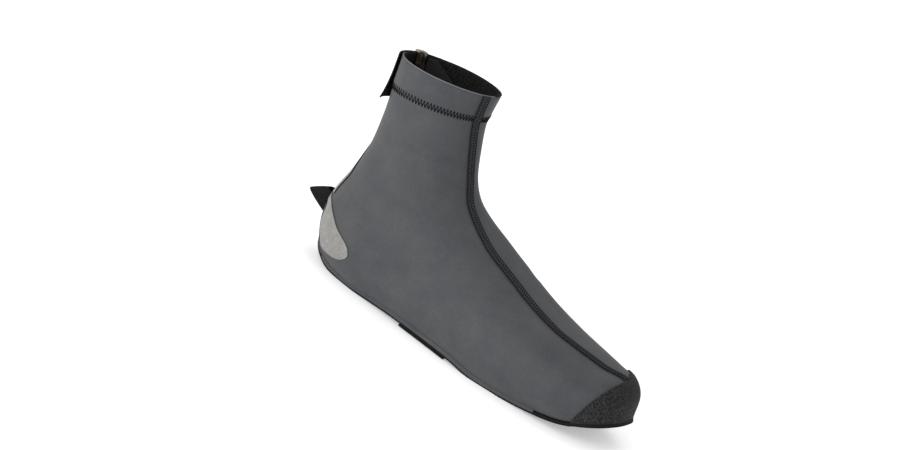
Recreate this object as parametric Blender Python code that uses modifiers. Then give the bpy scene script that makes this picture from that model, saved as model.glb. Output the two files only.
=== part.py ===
"""A cycling overshoe for the right foot, standing empty on its sole.

The frame has +X to the toe, +Y to the inner side of the foot and +Z up, with the floor at z = 0.
Every piece is worked out from one function, skin(), which gives a point of the fabric shell from
a station along the foot and a turn round the section there.
"""
import math
from collections import namedtuple

import bmesh
import bpy
import numpy as np
from mathutils import Matrix, Vector

# Driving sizes in metres
LENGTH = 0.296
BALL_WIDTH = 0.095
INSTEP_HEIGHT = 0.0935
SHAFT_RISE = 0.089
WALL = 0.002
FIT = 0.0003
SOLE_THICKNESS = 0.0027
HEM_HEIGHT = 0.021
HEM_STEP = 0.0008

# Sewn and printed overlays
CAP_THICKNESS = 0.0010
CAP_FIT = 0.0004
CAP_TOP = 0.956
CAP_BOTTOM = 0.888
SEAM_WIDTH = 0.007
SEAM_THICKNESS = 0.0010
GUARD_THICKNESS = 0.0012
GUARD_TOP = 0.044
GUARD_REACH = 0.0065
RAND_HEIGHT = 0.0035
FILM_THICKNESS = 0.0005
PATCH_TOP = 0.051
STRIP_TOP = 0.104
STRIP_WIDTH = 0.013

# Underside
SOLE_MARGIN = 0.0016
WORN_FLAT = 0.0001      # how deep the heel and forefoot are pressed flat on the floor
CLEAT_CORNER = 0.012
STRAP_FLOOR = 0.0003
CLEAT_CENTRE = 0.192
CLEAT_LENGTH = 0.064
CLEAT_WIDTH = 0.050
HEEL_HOLE_CENTRE = 0.050
HEEL_HOLE_LENGTH = 0.038
HEEL_HOLE_WIDTH = 0.028
STRAP_START = 0.1135
STRAP_WIDTH = 0.0435
STRAP_THICKNESS = 0.0020

# Zip, its slider and its pull
ZIP_TURN = 0.895
ZIP_BOTTOM = 0.056
TAPE_WIDTH = 0.015
TAPE_THICKNESS = 0.0005
COIL_WIDTH = 0.0045
COIL_THICKNESS = 0.0009
SLIDER_WIDTH = 0.0080
SLIDER_HEIGHT = 0.0100
SLIDER_PLATE = 0.0010
SLIDER_CLEARANCE = 0.0006
CROWN_THICKNESS = 0.0014
BAIL_WIRE = 0.0012
BAIL_BORE = 0.0010
PULL_STANDOFF = 0.0018
PULL_BAR = 0.0012
PULL_LENGTH = 0.0150
PULL_WIDTH = 0.0088
PULL_NECK = 0.0052
PULL_WINDOW = 0.0052

# Tabs
TAB_HEIGHT = 0.037
TAB_SEWN = 0.76
TAB_FREE = 1.15
TAB_THICKNESS = 0.0012
TAB_FLARE = 0.0060
LOOP_WEBBING = 0.0012
LOOP_SPREAD = 0.0120
LOOP_FOOT = 0.031
LOOP_HEAD = 0.0485
LOOP_REACH_FOOT = 0.0190
LOOP_REACH_HEAD = 0.0060
LOOP_RISE_FOOT = 0.0090
LOOP_RISE_HEAD = 0.0015
FLAP_THICKNESS = 0.0008
FLAP_GAP = 0.0008
FLAP_TOP = 0.2
FLAP_BOTTOM = 1.7
FLAP_FRONT = 0.80
FLAP_SLANT = 0.14
FLAP_REAR = 0.845

# One row for each section, from the collar down and then forward to the toe.
# back_x and front_x are shares of LENGTH. back_z and front_z run from 0 at the floor to 1 at
# INSTEP_HEIGHT and on to 2 a SHAFT_RISE higher; from heel_edge on, back_z starts at the sole's top.
# half, sole_half and ridge are shares of BALL_WIDTH. widest says where along the section it is
# widest, crown and belly how square its upper and lower quarters are, and seam the turn of the
# front seam.
Section = namedtuple(
    "Section",
    "name back_x back_z front_x front_z half widest sole_half ridge crown belly seam",
)
SECTIONS = (
    Section("collar", 0.020, 1.938, 0.302, 2.000, 0.347, 0.47, 0.000, 0.011, 2.0, 2.0, -0.105),
    Section("hem", 0.027, 1.669, 0.299, 1.747, 0.337, 0.47, 0.000, 0.011, 2.0, 2.0, -0.085),
    Section("shaft", 0.035, 1.376, 0.311, 1.489, 0.332, 0.46, 0.000, 0.021, 2.0, 2.0, -0.070),
    Section("ankle", 0.037, 1.084, 0.333, 1.264, 0.353, 0.45, 0.000, 0.032, 2.0, 2.0, -0.050),
    Section("bend", 0.022, 0.824, 0.372, 1.107, 0.379, 0.44, 0.000, 0.053, 2.1, 2.0, -0.070),
    Section("throat", 0.000, 0.588, 0.426, 1.000, 0.400, 0.42, 0.000, 0.084, 2.3, 2.0, -0.095),
    Section("heel_back", -0.005, 0.364, 0.480, 0.920, 0.411, 0.40, 0.000, 0.116, 2.4, 2.0, -0.115),
    Section("heel_edge", 0.015, 0.128, 0.520, 0.866, 0.416, 0.36, 0.000, 0.126, 2.5, 2.0, -0.115),
    Section("heel_turn", 0.037, 0.070, 0.554, 0.824, 0.421, 0.33, 0.126, 0.126, 2.6, 1.9, -0.105),
    Section("heel", 0.091, 0.015, 0.584, 0.786, 0.426, 0.30, 0.237, 0.126, 2.6, 1.6, -0.100),
    Section("heel_seat", 0.142, 0.000, 0.605, 0.765, 0.432, 0.29, 0.284, 0.126, 2.6, 1.45, -0.100),
    Section("heel_front", 0.203, 0.000, 0.628, 0.738, 0.437, 0.29, 0.316, 0.126, 2.6, 1.4, -0.100),
    Section("waist", 0.345, 0.030, 0.675, 0.688, 0.456, 0.30, 0.375, 0.114, 2.6, 1.3, -0.094),
    Section("arch", 0.530, 0.030, 0.740, 0.633, 0.489, 0.32, 0.420, 0.085, 2.6, 1.25, -0.070),
    Section("ball", 0.622, 0.000, 0.783, 0.609, 0.498, 0.33, 0.424, 0.071, 2.6, 1.25, -0.060),
    Section("tread", 0.709, 0.000, 0.835, 0.593, 0.489, 0.35, 0.416, 0.062, 2.5, 1.3, -0.060),
    Section("toe_joint", 0.797, 0.027, 0.895, 0.578, 0.458, 0.36, 0.395, 0.053, 2.4, 1.4, -0.045),
    Section("toe", 0.858, 0.059, 0.946, 0.556, 0.405, 0.33, 0.363, 0.032, 2.3, 1.5, -0.005),
    Section("toe_front", 0.895, 0.091, 0.983, 0.460, 0.342, 0.20, 0.326, 0.021, 2.2, 1.7, 0.0),
    Section("toe_tip", 0.912, 0.118, 0.995, 0.278, 0.311, 0.02, 0.311, 0.011, 2.2, 2.0, 0.0),
)
NAMES = [section.name for section in SECTIONS]
LAST = len(SECTIONS) - 1
HEEL_EDGE = NAMES.index("heel_edge")
SIDE_TURN = 0.56        # the turn at which a section is widest
ROWS_PER_SECTION = 2
TURNS = np.linspace(-1, 1, 37)
NORMAL_STEP = 0.01

# How finely the pieces are cut, and the room that cutters have
ROW_GAP = 0.06
HEM_CORNER = 0.012
FIRST_RUNG = 0.2
TOE_RUNGS = 7
CORNER_STEPS = 6
SHARP_ANGLE = 38
MERGE = 1e-5
CUT_REACH = 0.008
ROOM_MARGIN = 0.001
CAP_FIRST_ROW = 16.5
SEAM_END = 17.0
HEEL_FIRST_ROW = 4.5
HEEL_SIDE_TURN = 0.4

# The heel patch in side view: shares of LENGTH forward and of INSTEP_HEIGHT up
PATCH_OUTLINE = (
    (-0.03, 0.545),
    (0.020, 0.545),
    (0.063, 0.474),
    (0.102, 0.401),
    (0.150, 0.340),
    (0.168, 0.290),
    (0.167, 0.240),
    (0.149, 0.193),
    (0.122, 0.167),
    (0.085, 0.158),
    (0.056, 0.178),
    (0.034, 0.235),
    (0.022, 0.340),
    (0.020, 0.482),
    (-0.03, 0.482),
)


def height(share):
    """The height that a share from 0 to 2 stands for."""
    share = np.asarray(share, float)
    return np.minimum(share, 1) * INSTEP_HEIGHT + np.maximum(share - 1, 0) * SHAFT_RISE


def column_sizes():
    """The table's columns in metres, or as the plain numbers that they are."""
    col = {
        name: np.array([getattr(section, name) for section in SECTIONS])
        for name in Section._fields[1:]
    }
    for name in ("back_x", "front_x"):
        col[name] = col[name] * LENGTH
    for name in ("back_z", "front_z"):
        col[name] = height(col[name])
    col["back_z"][HEEL_EDGE:] += SOLE_THICKNESS + FIT
    for name in ("half", "sole_half", "ridge"):
        col[name] = col[name] * BALL_WIDTH
    return col


COLUMNS = column_sizes()


def column(name, station):
    """One column at any station, on a smooth curve through its rows."""
    p = COLUMNS[name]
    station = np.clip(np.asarray(station, float), 0, LAST)
    i = np.minimum(station.astype(int), LAST - 1)
    u = station - i
    start, end = p[i], p[i + 1]
    leaving = np.where(i > 0, (end - p[np.maximum(i - 1, 0)]) / 2, end - start)
    arriving = np.where(i < LAST - 1, (p[np.minimum(i + 2, LAST)] - start) / 2, end - start)
    ease = u * u * (3 - 2 * u)
    return start + (end - start) * ease + leaving * u * (1 - u) ** 2 - arriving * u * u * (1 - u)


def shell(station, turn):
    """Points of the bare shell. A turn of 0 is the front ridge. From there the section runs down
    the outer side to -1 and down the inner side to 1. Up to heel_edge both ends meet at the back,
    and past it they are the two edges of the sole."""
    station, turn = np.broadcast_arrays(np.asarray(station, float), np.asarray(turn, float))
    back_x, back_z, front_x, front_z, half, widest, sole_half, ridge, crown, belly = (
        column(name, station) for name in Section._fields[1:-1]
    )
    sole_half = np.where(station <= HEEL_EDGE, 0, np.maximum(sole_half, 0))
    side = np.where(turn < 0, -1.0, 1.0)
    amount = np.abs(turn)
    above = np.clip(amount / SIDE_TURN, 0, 1) * math.pi / 2
    below = np.clip((amount - SIDE_TURN) / (1 - SIDE_TURN), 0, 1) * math.pi / 2
    upper = amount <= SIDE_TURN
    along = np.where(
        upper,
        widest + (1 - widest) * np.cos(above) ** (2 / crown),
        widest * (1 - np.sin(below)),
    )
    y_upper = ridge + (side * half - ridge) * np.sin(above) ** (2 / crown)
    y_lower = side * (sole_half + (half - sole_half) * np.maximum(np.cos(below), 0) ** (2 / belly))
    return np.stack(
        [
            back_x + (front_x - back_x) * along,
            np.where(upper, y_upper, y_lower),
            back_z + (front_z - back_z) * along,
        ],
        -1,
    )


def outward(station, turn):
    """Unit normals of the shell, pointing out of the shoe."""
    station, turn = np.broadcast_arrays(np.asarray(station, float), np.asarray(turn, float))
    closed = station <= HEEL_EDGE
    before = np.where(closed, turn - NORMAL_STEP, np.clip(turn - NORMAL_STEP, -1, 1))
    after = np.where(closed, turn + NORMAL_STEP, np.clip(turn + NORMAL_STEP, -1, 1))
    around = shell(station, wrapped(after)) - shell(station, wrapped(before))
    higher = np.maximum(station - NORMAL_STEP, 0)
    lower = np.minimum(station + NORMAL_STEP, np.where(closed, HEEL_EDGE, LAST))
    down = shell(lower, wrapped(turn)) - shell(higher, wrapped(turn))
    normal = np.cross(down, around)
    return normal / np.linalg.norm(normal, axis=-1, keepdims=True)


def wrapped(turn):
    """A turn past the back centre line comes round to the other side."""
    return (np.asarray(turn, float) + 1) % 2 - 1 + 2 * (np.asarray(turn) == 1)


def hem_lift(station):
    """How far the folded hem stands out of the wall."""
    return np.where(drop_from_collar(station) < HEM_HEIGHT, HEM_STEP, 0)


def drop_from_collar(station):
    """How far down the back a station lies, below the collar's edge."""
    return column("back_z", 0.0) - column("back_z", station)


def raised(station, turn, rise):
    """Points at a height above the bare shell, or inside it where the height is negative."""
    rise = np.asarray(rise, float)
    return shell(station, wrapped(turn)) + outward(station, turn) * rise[..., None]


def skin(station, turn, lift=0.0):
    """Points at a height above the upper's outer face, the hem's step included."""
    return raised(station, turn, hem_lift(station) + lift)


# Helpers that turn points into objects


def clear_scene():
    for obj in list(bpy.data.objects):
        bpy.data.objects.remove(obj, do_unlink=True)


def make_collection(name, helper=False):
    collection = bpy.data.collections.new(name)
    bpy.context.scene.collection.children.link(collection)
    collection.hide_render = helper
    return collection


def make_material(name, colour, roughness, metallic=0.0):
    material = bpy.data.materials.new(name)
    material.use_nodes = True
    shader = material.node_tree.nodes["Principled BSDF"]
    shader.inputs["Base Color"].default_value = (*colour, 1.0)
    shader.inputs["Roughness"].default_value = roughness
    shader.inputs["Metallic"].default_value = metallic
    return material


def add_object(name, mesh, collection, material=None):
    obj = bpy.data.objects.new(name, mesh)
    collection.objects.link(obj)
    if material is None:
        obj.hide_render = True
        obj.display_type = "WIRE"
    else:
        mesh.materials.append(material)
        mesh.shade_smooth()
        mesh.set_sharp_from_angle(angle=math.radians(SHARP_ANGLE))
    return obj


def grid_faces(rows, cols, offset=0):
    """Quads of a grid of points, row by row."""
    return [
        (offset + i * cols + j, offset + (i + 1) * cols + j,
         offset + (i + 1) * cols + j + 1, offset + i * cols + j + 1)
        for i in range(rows - 1)
        for j in range(cols - 1)
    ]


def joined_sheets(name, grids):
    """An open sheet through grids of points, merged where they meet."""
    points, faces, count = [], [], 0
    for grid in grids:
        rows, cols = grid.shape[:2]
        faces += grid_faces(rows, cols, count)
        points.append(grid.reshape(-1, 3))
        count += rows * cols
    mesh = bpy.data.meshes.new(name)
    mesh.from_pydata(np.concatenate(points).tolist(), [], faces)
    merge_close(mesh)
    return mesh


def sheet_mesh(name, points):
    return joined_sheets(name, [points])


def merge_close(mesh):
    work = bmesh.new()
    work.from_mesh(mesh)
    bmesh.ops.remove_doubles(work, verts=work.verts, dist=MERGE)
    work.to_mesh(mesh)
    work.free()


def thicken(obj, thickness, offset):
    """Give a sheet its thickness: offset 1 puts it outside the sheet, -1 inside."""
    modifier = obj.modifiers.new("Wall", "SOLIDIFY")
    modifier.thickness = thickness
    modifier.offset = offset
    return modifier


def boolean(obj, cutter, operation):
    modifier = obj.modifiers.new(operation.title(), "BOOLEAN")
    modifier.operation = operation
    modifier.solver = "EXACT"
    modifier.object = cutter


def slab_mesh(name, top, bottom):
    """A closed solid between two grids of points of the same size."""
    rows, cols = top.shape[:2]
    count = rows * cols
    faces = [face[::-1] for face in grid_faces(rows, cols)] + grid_faces(rows, cols, count)
    ring = (
        [j for j in range(cols)]
        + [i * cols + cols - 1 for i in range(1, rows)]
        + [(rows - 1) * cols + j for j in range(cols - 2, -1, -1)]
        + [i * cols for i in range(rows - 2, 0, -1)]
    )
    faces += [
        (a, b, b + count, a + count) for a, b in zip(ring, ring[1:] + ring[:1])
    ]
    mesh = bpy.data.meshes.new(name)
    points = np.concatenate([top.reshape(-1, 3), bottom.reshape(-1, 3)])
    mesh.from_pydata(points.tolist(), [], faces)
    return face_outwards(mesh)


def face_outwards(mesh):
    work = bmesh.new()
    work.from_mesh(mesh)
    bmesh.ops.recalc_face_normals(work, faces=work.faces)
    work.to_mesh(mesh)
    work.free()
    return mesh


def prism_mesh(name, outline, start, depth):
    """A flat outline of 3D points, swept from start along depth."""
    work = bmesh.new()
    corners = [work.verts.new(Vector(point) + Vector(start)) for point in outline]
    face = work.faces.new(corners)
    swept = bmesh.ops.extrude_face_region(work, geom=[face])
    moved = [item for item in swept["geom"] if isinstance(item, bmesh.types.BMVert)]
    bmesh.ops.translate(work, verts=moved, vec=Vector(depth))
    bmesh.ops.recalc_face_normals(work, faces=work.faces)
    mesh = bpy.data.meshes.new(name)
    work.to_mesh(mesh)
    work.free()
    return mesh


# Places on the shell


def station_at_height(z):
    """The station whose section starts at this height at the back of the heel."""
    stations = np.linspace(0, HEEL_EDGE, 281)
    return float(np.interp(-z, -column("back_z", stations), stations))


def station_under(x):
    """The station whose section starts this far forward along the sole."""
    stations = np.linspace(HEEL_EDGE, LAST, 481)
    return float(np.interp(x, column("back_x", stations), stations))


def beside(station, turn, distance):
    """The turn that lies this far round the section from a turn."""
    reach = np.linspace(-0.2, 0.2, 161)
    points = shell(station, wrapped(turn + reach))
    steps = np.linalg.norm(np.diff(points, axis=0), axis=1)
    run = np.concatenate([[0.0], np.cumsum(steps)])
    run -= np.interp(0.0, reach, run)
    return turn + float(np.interp(distance, run, reach))


HEM_STATION = float(
    np.interp(HEM_HEIGHT, drop_from_collar(np.linspace(0, 2, 201)), np.linspace(0, 2, 201))
)


def stations_between(start, end):
    """The shell's own rows from one station to another, both ends included."""
    rows = np.arange(0, LAST + 0.5 / ROWS_PER_SECTION, 1 / ROWS_PER_SECTION)
    hem = np.array([HEM_STATION - HEM_CORNER, HEM_STATION + HEM_CORNER])
    rows = np.concatenate([rows[np.abs(rows - HEM_STATION) > 4 * HEM_CORNER], hem])
    inside = rows[(rows > start + ROW_GAP) & (rows < end - ROW_GAP)]
    return np.concatenate([[start], np.sort(inside), [end]])


def ribbon(start, end, centre, width, lift, columns=3):
    """A band along the foot: rows of points at a lift above the skin, width across."""
    rows = []
    for station in stations_between(start, end):
        middle = centre(station)
        edges = (beside(station, middle, -width(station) / 2), beside(station, middle, width(station) / 2))
        rows.append(skin(station, np.linspace(*edges, columns), lift))
    return np.stack(rows)


def back_line(stations):
    """The heel's back and the sole's underside in side view, with the normal into the shoe."""
    line = np.stack([column("back_x", stations), column("back_z", stations)], -1)
    along = np.gradient(line, axis=0)
    along /= np.linalg.norm(along, axis=1, keepdims=True)
    return line, np.stack([-along[:, 1], along[:, 0]], -1)


# The sole is a ladder of straight rungs between the two edges of the shell


def rungs():
    """The two ends of each rung, from the back of the heel to the tip of the toe."""
    stations = np.arange(HEEL_EDGE + FIRST_RUNG, LAST + 0.25, 0.5)
    stations = np.append(stations[stations < LAST], LAST)
    turns = SIDE_TURN * np.linspace(1, 0.06, TOE_RUNGS)
    outer = np.concatenate([shell(stations, -1.0), shell(LAST, -turns)])
    inner = np.concatenate([shell(stations, 1.0), shell(LAST, turns)])
    return outer, inner


def ladder(margin, drop, thickness, floor=0.0, span=None):
    """The top and bottom grids of a plate under the foot. Its edge stands a margin outside the
    shell's edge, its top lies a drop under it, and nothing reaches below the floor."""
    outer, inner = rungs()
    middle = (outer + inner) / 2
    along = np.gradient(middle, axis=0)
    up = np.cross(along, inner - outer)
    up /= np.linalg.norm(up, axis=1, keepdims=True)
    loop = np.concatenate([outer, inner[::-1]])
    run = np.roll(loop, -1, 0) - np.roll(loop, 1, 0)
    out = np.cross(run, np.concatenate([up, up[::-1]]))
    out /= np.linalg.norm(out, axis=1, keepdims=True)
    out *= np.sign(np.sum(out[0] * (loop[0] - middle[len(middle) // 2])))
    wide = loop + out * margin
    count = len(outer)
    top = np.stack([wide[:count], wide[count:][::-1]], 1) - up[:, None] * drop
    bottom = top - up[:, None] * thickness
    bottom[..., 2] = np.maximum(bottom[..., 2], floor)
    if span is not None:
        top, bottom = cut_ladder(top, span), cut_ladder(bottom, span)
    return top, bottom


def cut_ladder(grid, span):
    """The part of a ladder between two places along X, with a rung at each."""
    x = grid[:, :, 0].mean(1)
    places = np.concatenate([[span[0]], x[(x > span[0]) & (x < span[1])], [span[1]]])
    rows = [
        [[np.interp(place, x, grid[:, side, axis]) for axis in range(3)] for side in range(2)]
        for place in places
    ]
    return np.array(rows)


def rounded_slot(length, width, corner):
    """Corners of a rounded rectangle round the origin, in X and Y."""
    outline = []
    for quarter, (sx, sy) in enumerate(((1, 1), (-1, 1), (-1, -1), (1, -1))):
        centre = (sx * (length / 2 - corner), sy * (width / 2 - corner))
        for step in range(CORNER_STEPS + 1):
            angle = math.pi / 2 * (quarter + step / CORNER_STEPS)
            outline.append((centre[0] + corner * math.cos(angle), centre[1] + corner * math.sin(angle), 0))
    return outline


# The pieces


def build_upper(parts, materials):
    points = skin(stations_between(0.0, float(LAST))[:, None], TURNS[None, :])
    upper = add_object("upper", sheet_mesh("upper", points), parts, materials["shell"])
    thicken(upper, WALL, -1)


def build_outsole(parts, helpers, materials):
    top, bottom = ladder(SOLE_MARGIN, FIT, SOLE_THICKNESS + WORN_FLAT)
    outsole = add_object("outsole", slab_mesh("outsole", top, bottom), parts, materials["panel"])
    holes = (
        ("cleat_cutter", CLEAT_CENTRE, CLEAT_LENGTH, CLEAT_WIDTH, CLEAT_CORNER),
        ("heel_cutter", HEEL_HOLE_CENTRE, HEEL_HOLE_LENGTH, HEEL_HOLE_WIDTH, HEEL_HOLE_WIDTH * 0.48),
    )
    for name, centre, length, width, corner in holes:
        outline = rounded_slot(length, width, corner)
        mesh = prism_mesh(name, outline, (centre, 0, -CUT_REACH), (0, 0, 2 * CUT_REACH))
        boolean(outsole, add_object(name, mesh, helpers), "DIFFERENCE")


def build_arch_strap(parts, materials):
    drop = FIT + SOLE_THICKNESS + FIT
    top, bottom = ladder(
        SOLE_MARGIN, drop, STRAP_THICKNESS, STRAP_FLOOR, (STRAP_START, STRAP_START + STRAP_WIDTH)
    )
    add_object("arch_strap", slab_mesh("arch_strap", top, bottom), parts, materials["webbing"])


def sole_room(helpers):
    """The space that the sole fills, which the overlays at the shell's edge keep clear of."""
    top, bottom = ladder(SOLE_MARGIN + ROOM_MARGIN, 0.0, CUT_REACH, -CUT_REACH)
    return add_object("sole_room", slab_mesh("sole_room", top, bottom), helpers)


def shell_overlay(name, grids, thickness, parts, material):
    """A sheet a fit outside the shell, thickened outwards: what an overlay is cut from."""
    mesh = joined_sheets(name, grids)
    obj = add_object(name, mesh, parts, material)
    thicken(obj, thickness, 1)
    return obj


def side_cutter(name, outline, helpers):
    """A prism right through the shoe, with an outline seen from the side."""
    points = [(x, 0, z) for x, z in outline]
    mesh = prism_mesh(name, points, (0, -BALL_WIDTH, 0), (0, 2 * BALL_WIDTH, 0))
    return add_object(name, mesh, helpers)


def build_toe_cap(parts, helpers, room, materials):
    stations = stations_between(CAP_FIRST_ROW, float(LAST))
    grids = [skin(stations[:, None], TURNS[None, 1:-1], CAP_FIT)]
    cap = shell_overlay("toe_cap", grids, CAP_THICKNESS, parts, materials["cap"])
    outline = (
        (CAP_TOP * LENGTH, INSTEP_HEIGHT * 0.6),
        (CAP_BOTTOM * LENGTH, 0),
        (LENGTH * 1.2, 0),
        (LENGTH * 1.2, INSTEP_HEIGHT * 0.6),
    )
    boolean(cap, side_cutter("cap_cutter", outline, helpers), "INTERSECT")
    boolean(cap, room, "DIFFERENCE")


def build_front_seam(parts, materials):
    points = ribbon(
        0.0,
        SEAM_END,
        lambda station: float(column("seam", station)),
        lambda station: SEAM_WIDTH,
        FIT,
    )
    seam = add_object("front_seam", sheet_mesh("front_seam", points), parts, materials["trim"])
    thicken(seam, SEAM_THICKNESS, 1)


def heel_grids():
    """Both sides of the rear of the shell, from above the loop to the arch strap."""
    stations = stations_between(HEEL_FIRST_ROW, station_under(STRAP_START) + 0.3)[:, None]
    side = TURNS[TURNS >= HEEL_SIDE_TURN]
    return [skin(stations, -side[::-1][None, :], FIT), skin(stations, side[None, :], FIT)]


def build_heel_guard(parts, helpers, room, materials):
    grids = heel_grids()
    guard = shell_overlay("heel_guard", grids, GUARD_THICKNESS, parts, materials["panel"])
    stations = np.linspace(station_at_height(GUARD_TOP), station_under(STRAP_START), 33)
    line, inward = back_line(stations)
    taper = np.interp(stations, [HEEL_EDGE, LAST * 0.5], [GUARD_REACH, RAND_HEIGHT])[:, None]
    outline = np.concatenate([line + inward * taper, (line - inward * CUT_REACH)[::-1]])
    boolean(guard, side_cutter("guard_cutter", outline, helpers), "INTERSECT")
    boolean(guard, room, "DIFFERENCE")


def build_heel_patch(parts, helpers, materials):
    grids = heel_grids()
    patch = shell_overlay("heel_patch", grids, FILM_THICKNESS, parts, materials["reflective"])
    outline = [(along * LENGTH, up * INSTEP_HEIGHT) for along, up in PATCH_OUTLINE]
    boolean(patch, side_cutter("patch_cutter", outline, helpers), "INTERSECT")


def build_back_strip(parts, materials):
    start, end = station_at_height(STRIP_TOP), station_at_height(PATCH_TOP + 2 * FIT)
    points = ribbon(
        start, end, lambda station: 1.0,
        lambda station: STRIP_WIDTH * float(np.interp(station, [start, end], [0.45, 1.0])),
        FIT, 5,
    )
    strip = add_object("back_strip", sheet_mesh("back_strip", points), parts, materials["reflective"])
    thicken(strip, FILM_THICKNESS, 1)


def build_zip(parts, materials):
    end = station_at_height(ZIP_BOTTOM)
    first_tooth = float(np.interp(SLIDER_HEIGHT, drop_from_collar(np.linspace(0, 1, 101)), np.linspace(0, 1, 101)))
    bands = (
        ("zip_tape", 0.0, TAPE_WIDTH, FIT, TAPE_THICKNESS, 5, "trim"),
        ("zip_coil", first_tooth, COIL_WIDTH, 2 * FIT + TAPE_THICKNESS, COIL_THICKNESS, 3, "panel"),
    )
    for name, start, width, lift, thickness, columns, finish in bands:
        points = ribbon(
            start, end, lambda station: ZIP_TURN, lambda station, wide=width: wide, lift, columns
        )
        band = add_object(name, sheet_mesh(name, points), parts, materials[finish])
        thicken(band, thickness, 1)


def zip_frame():
    """The slider's place: +X out of the shoe, +Y round the collar, +Z up the zip."""
    up = shell(0.0, ZIP_TURN) - shell(0.4, ZIP_TURN)
    out = Vector(outward(0.0, ZIP_TURN))
    up = Vector(up).normalized()
    out = (out - up * out.dot(up)).normalized()
    return Vector(shell(0.0, ZIP_TURN)), out, up.cross(out), up


def place(obj, origin, out, round_, up):
    matrix = Matrix((out, round_, up)).transposed()
    obj.location = origin
    obj.rotation_euler = matrix.to_euler()


INNER_PLATE = -(WALL - HEM_STEP) - SLIDER_CLEARANCE - SLIDER_PLATE
OUTER_GAP = HEM_STEP + FIT + TAPE_THICKNESS + FIT
PULL_AXIS = (INNER_PLATE - PULL_STANDOFF, 0.0)


def arc(centre, radius, start, end, steps=10):
    """Points of an arc in the plane of X and Z, between two angles in degrees."""
    angles = np.radians(np.linspace(start, end, steps + 1))
    return [(centre[0] + radius * math.cos(a), 0, centre[1] + radius * math.sin(a)) for a in angles]


def build_slider(parts, helpers, materials):
    top = SLIDER_CLEARANCE + CROWN_THICKNESS
    body = [
        (INNER_PLATE, 0, -SLIDER_HEIGHT),
        (INNER_PLATE, 0, top),
        (OUTER_GAP + SLIDER_PLATE, 0, top),
        (OUTER_GAP + SLIDER_PLATE, 0, -SLIDER_HEIGHT),
        (OUTER_GAP, 0, -SLIDER_HEIGHT),
        (OUTER_GAP, 0, SLIDER_CLEARANCE),
        (INNER_PLATE + SLIDER_PLATE, 0, SLIDER_CLEARANCE),
        (INNER_PLATE + SLIDER_PLATE, 0, -SLIDER_HEIGHT),
    ]
    half = SLIDER_WIDTH / 2
    mesh = prism_mesh("zip_slider", body, (0, -half, 0), (0, 2 * half, 0))
    slider = add_object("zip_slider", mesh, parts, materials["metal"])
    outer = BAIL_BORE + BAIL_WIRE
    root = INNER_PLATE + SLIDER_PLATE / 2
    bail = (
        [(root, 0, PULL_AXIS[1] + outer)]
        + arc(PULL_AXIS, outer, 90, 270)
        + [(root, 0, PULL_AXIS[1] - outer), (root, 0, PULL_AXIS[1] - BAIL_BORE)]
        + arc(PULL_AXIS, BAIL_BORE, 270, 90)
        + [(root, 0, PULL_AXIS[1] + BAIL_BORE)]
    )
    mesh = prism_mesh("bail", bail, (0, -BAIL_WIRE / 2, 0), (0, BAIL_WIRE, 0))
    hoop = add_object("bail", mesh, helpers)
    for obj in (slider, hoop):
        place(obj, *zip_frame())
    boolean(slider, hoop, "UNION")


def build_pull(parts, helpers, materials):
    origin, out, round_, up = zip_frame()
    axis = origin + out * PULL_AXIS[0] + up * PULL_AXIS[1]
    hang_up = (Vector((0, 0, 1)) - round_ * round_.z).normalized()
    hang = (axis, round_.cross(hang_up), round_, hang_up)
    neck, wide, bar = PULL_NECK / 2, PULL_WIDTH / 2, PULL_BAR / 2
    shoulder = -bar - PULL_WINDOW
    right = [
        (neck, bar), (neck, shoulder - 0.0006), (wide, shoulder - 0.0022),
        (wide, -PULL_LENGTH + 0.0022), (wide * 0.86, -PULL_LENGTH + 0.0006), (wide * 0.55, -PULL_LENGTH),
    ]
    outline = [(0, y, z) for y, z in right] + [(0, -y, z) for y, z in right[::-1]]
    mesh = prism_mesh("zip_pull", outline, (-bar, 0, 0), (2 * bar, 0, 0))
    pull = add_object("zip_pull", mesh, parts, materials["metal"])
    side = BAIL_WIRE
    window = [(0, -side, -bar), (0, side, -bar), (0, side, shoulder), (0, -side, shoulder)]
    mesh = prism_mesh("pull_window", window, (-CUT_REACH, 0, 0), (2 * CUT_REACH, 0, 0))
    cutter = add_object("pull_window", mesh, helpers)
    for obj in (pull, cutter):
        place(obj, *hang)
    boolean(pull, cutter, "DIFFERENCE")


def ease(amount):
    amount = np.clip(amount, 0, 1)
    return amount * amount * (3 - 2 * amount)


def build_closure_tab(parts, materials):
    end = float(np.interp(TAB_HEIGHT, drop_from_collar(np.linspace(0, 3, 301)), np.linspace(0, 3, 301)))
    stations = stations_between(0.0, end)[:, None]
    turns = np.linspace(TAB_SEWN, TAB_FREE, 11)[None, :]
    depth = drop_from_collar(stations) / TAB_HEIGHT
    over_slider = OUTER_GAP + SLIDER_PLATE + 2 * FIT - HEM_STEP - FIT
    rise = (
        HEM_STEP + FIT
        + over_slider * ease((turns - TAB_SEWN - 0.03) / 0.07)
        + TAB_FLARE * depth ** 3 * ease((turns - 1) / (TAB_FREE - 1))
    )
    points = raised(stations, turns, rise)
    tab = add_object("closure_tab", sheet_mesh("closure_tab", points), parts, materials["webbing"])
    thicken(tab, TAB_THICKNESS, 1)


def build_zip_flap(parts, materials):
    rows = []
    for station in stations_between(FLAP_TOP, FLAP_BOTTOM):
        front = FLAP_FRONT - FLAP_SLANT * station
        rows.append(raised(station, np.linspace(front, FLAP_REAR, 7), -WALL - FLAP_GAP))
    flap = add_object("zip_flap", sheet_mesh("zip_flap", np.stack(rows)), parts, materials["trim"])
    thicken(flap, FLAP_THICKNESS, -1)


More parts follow.
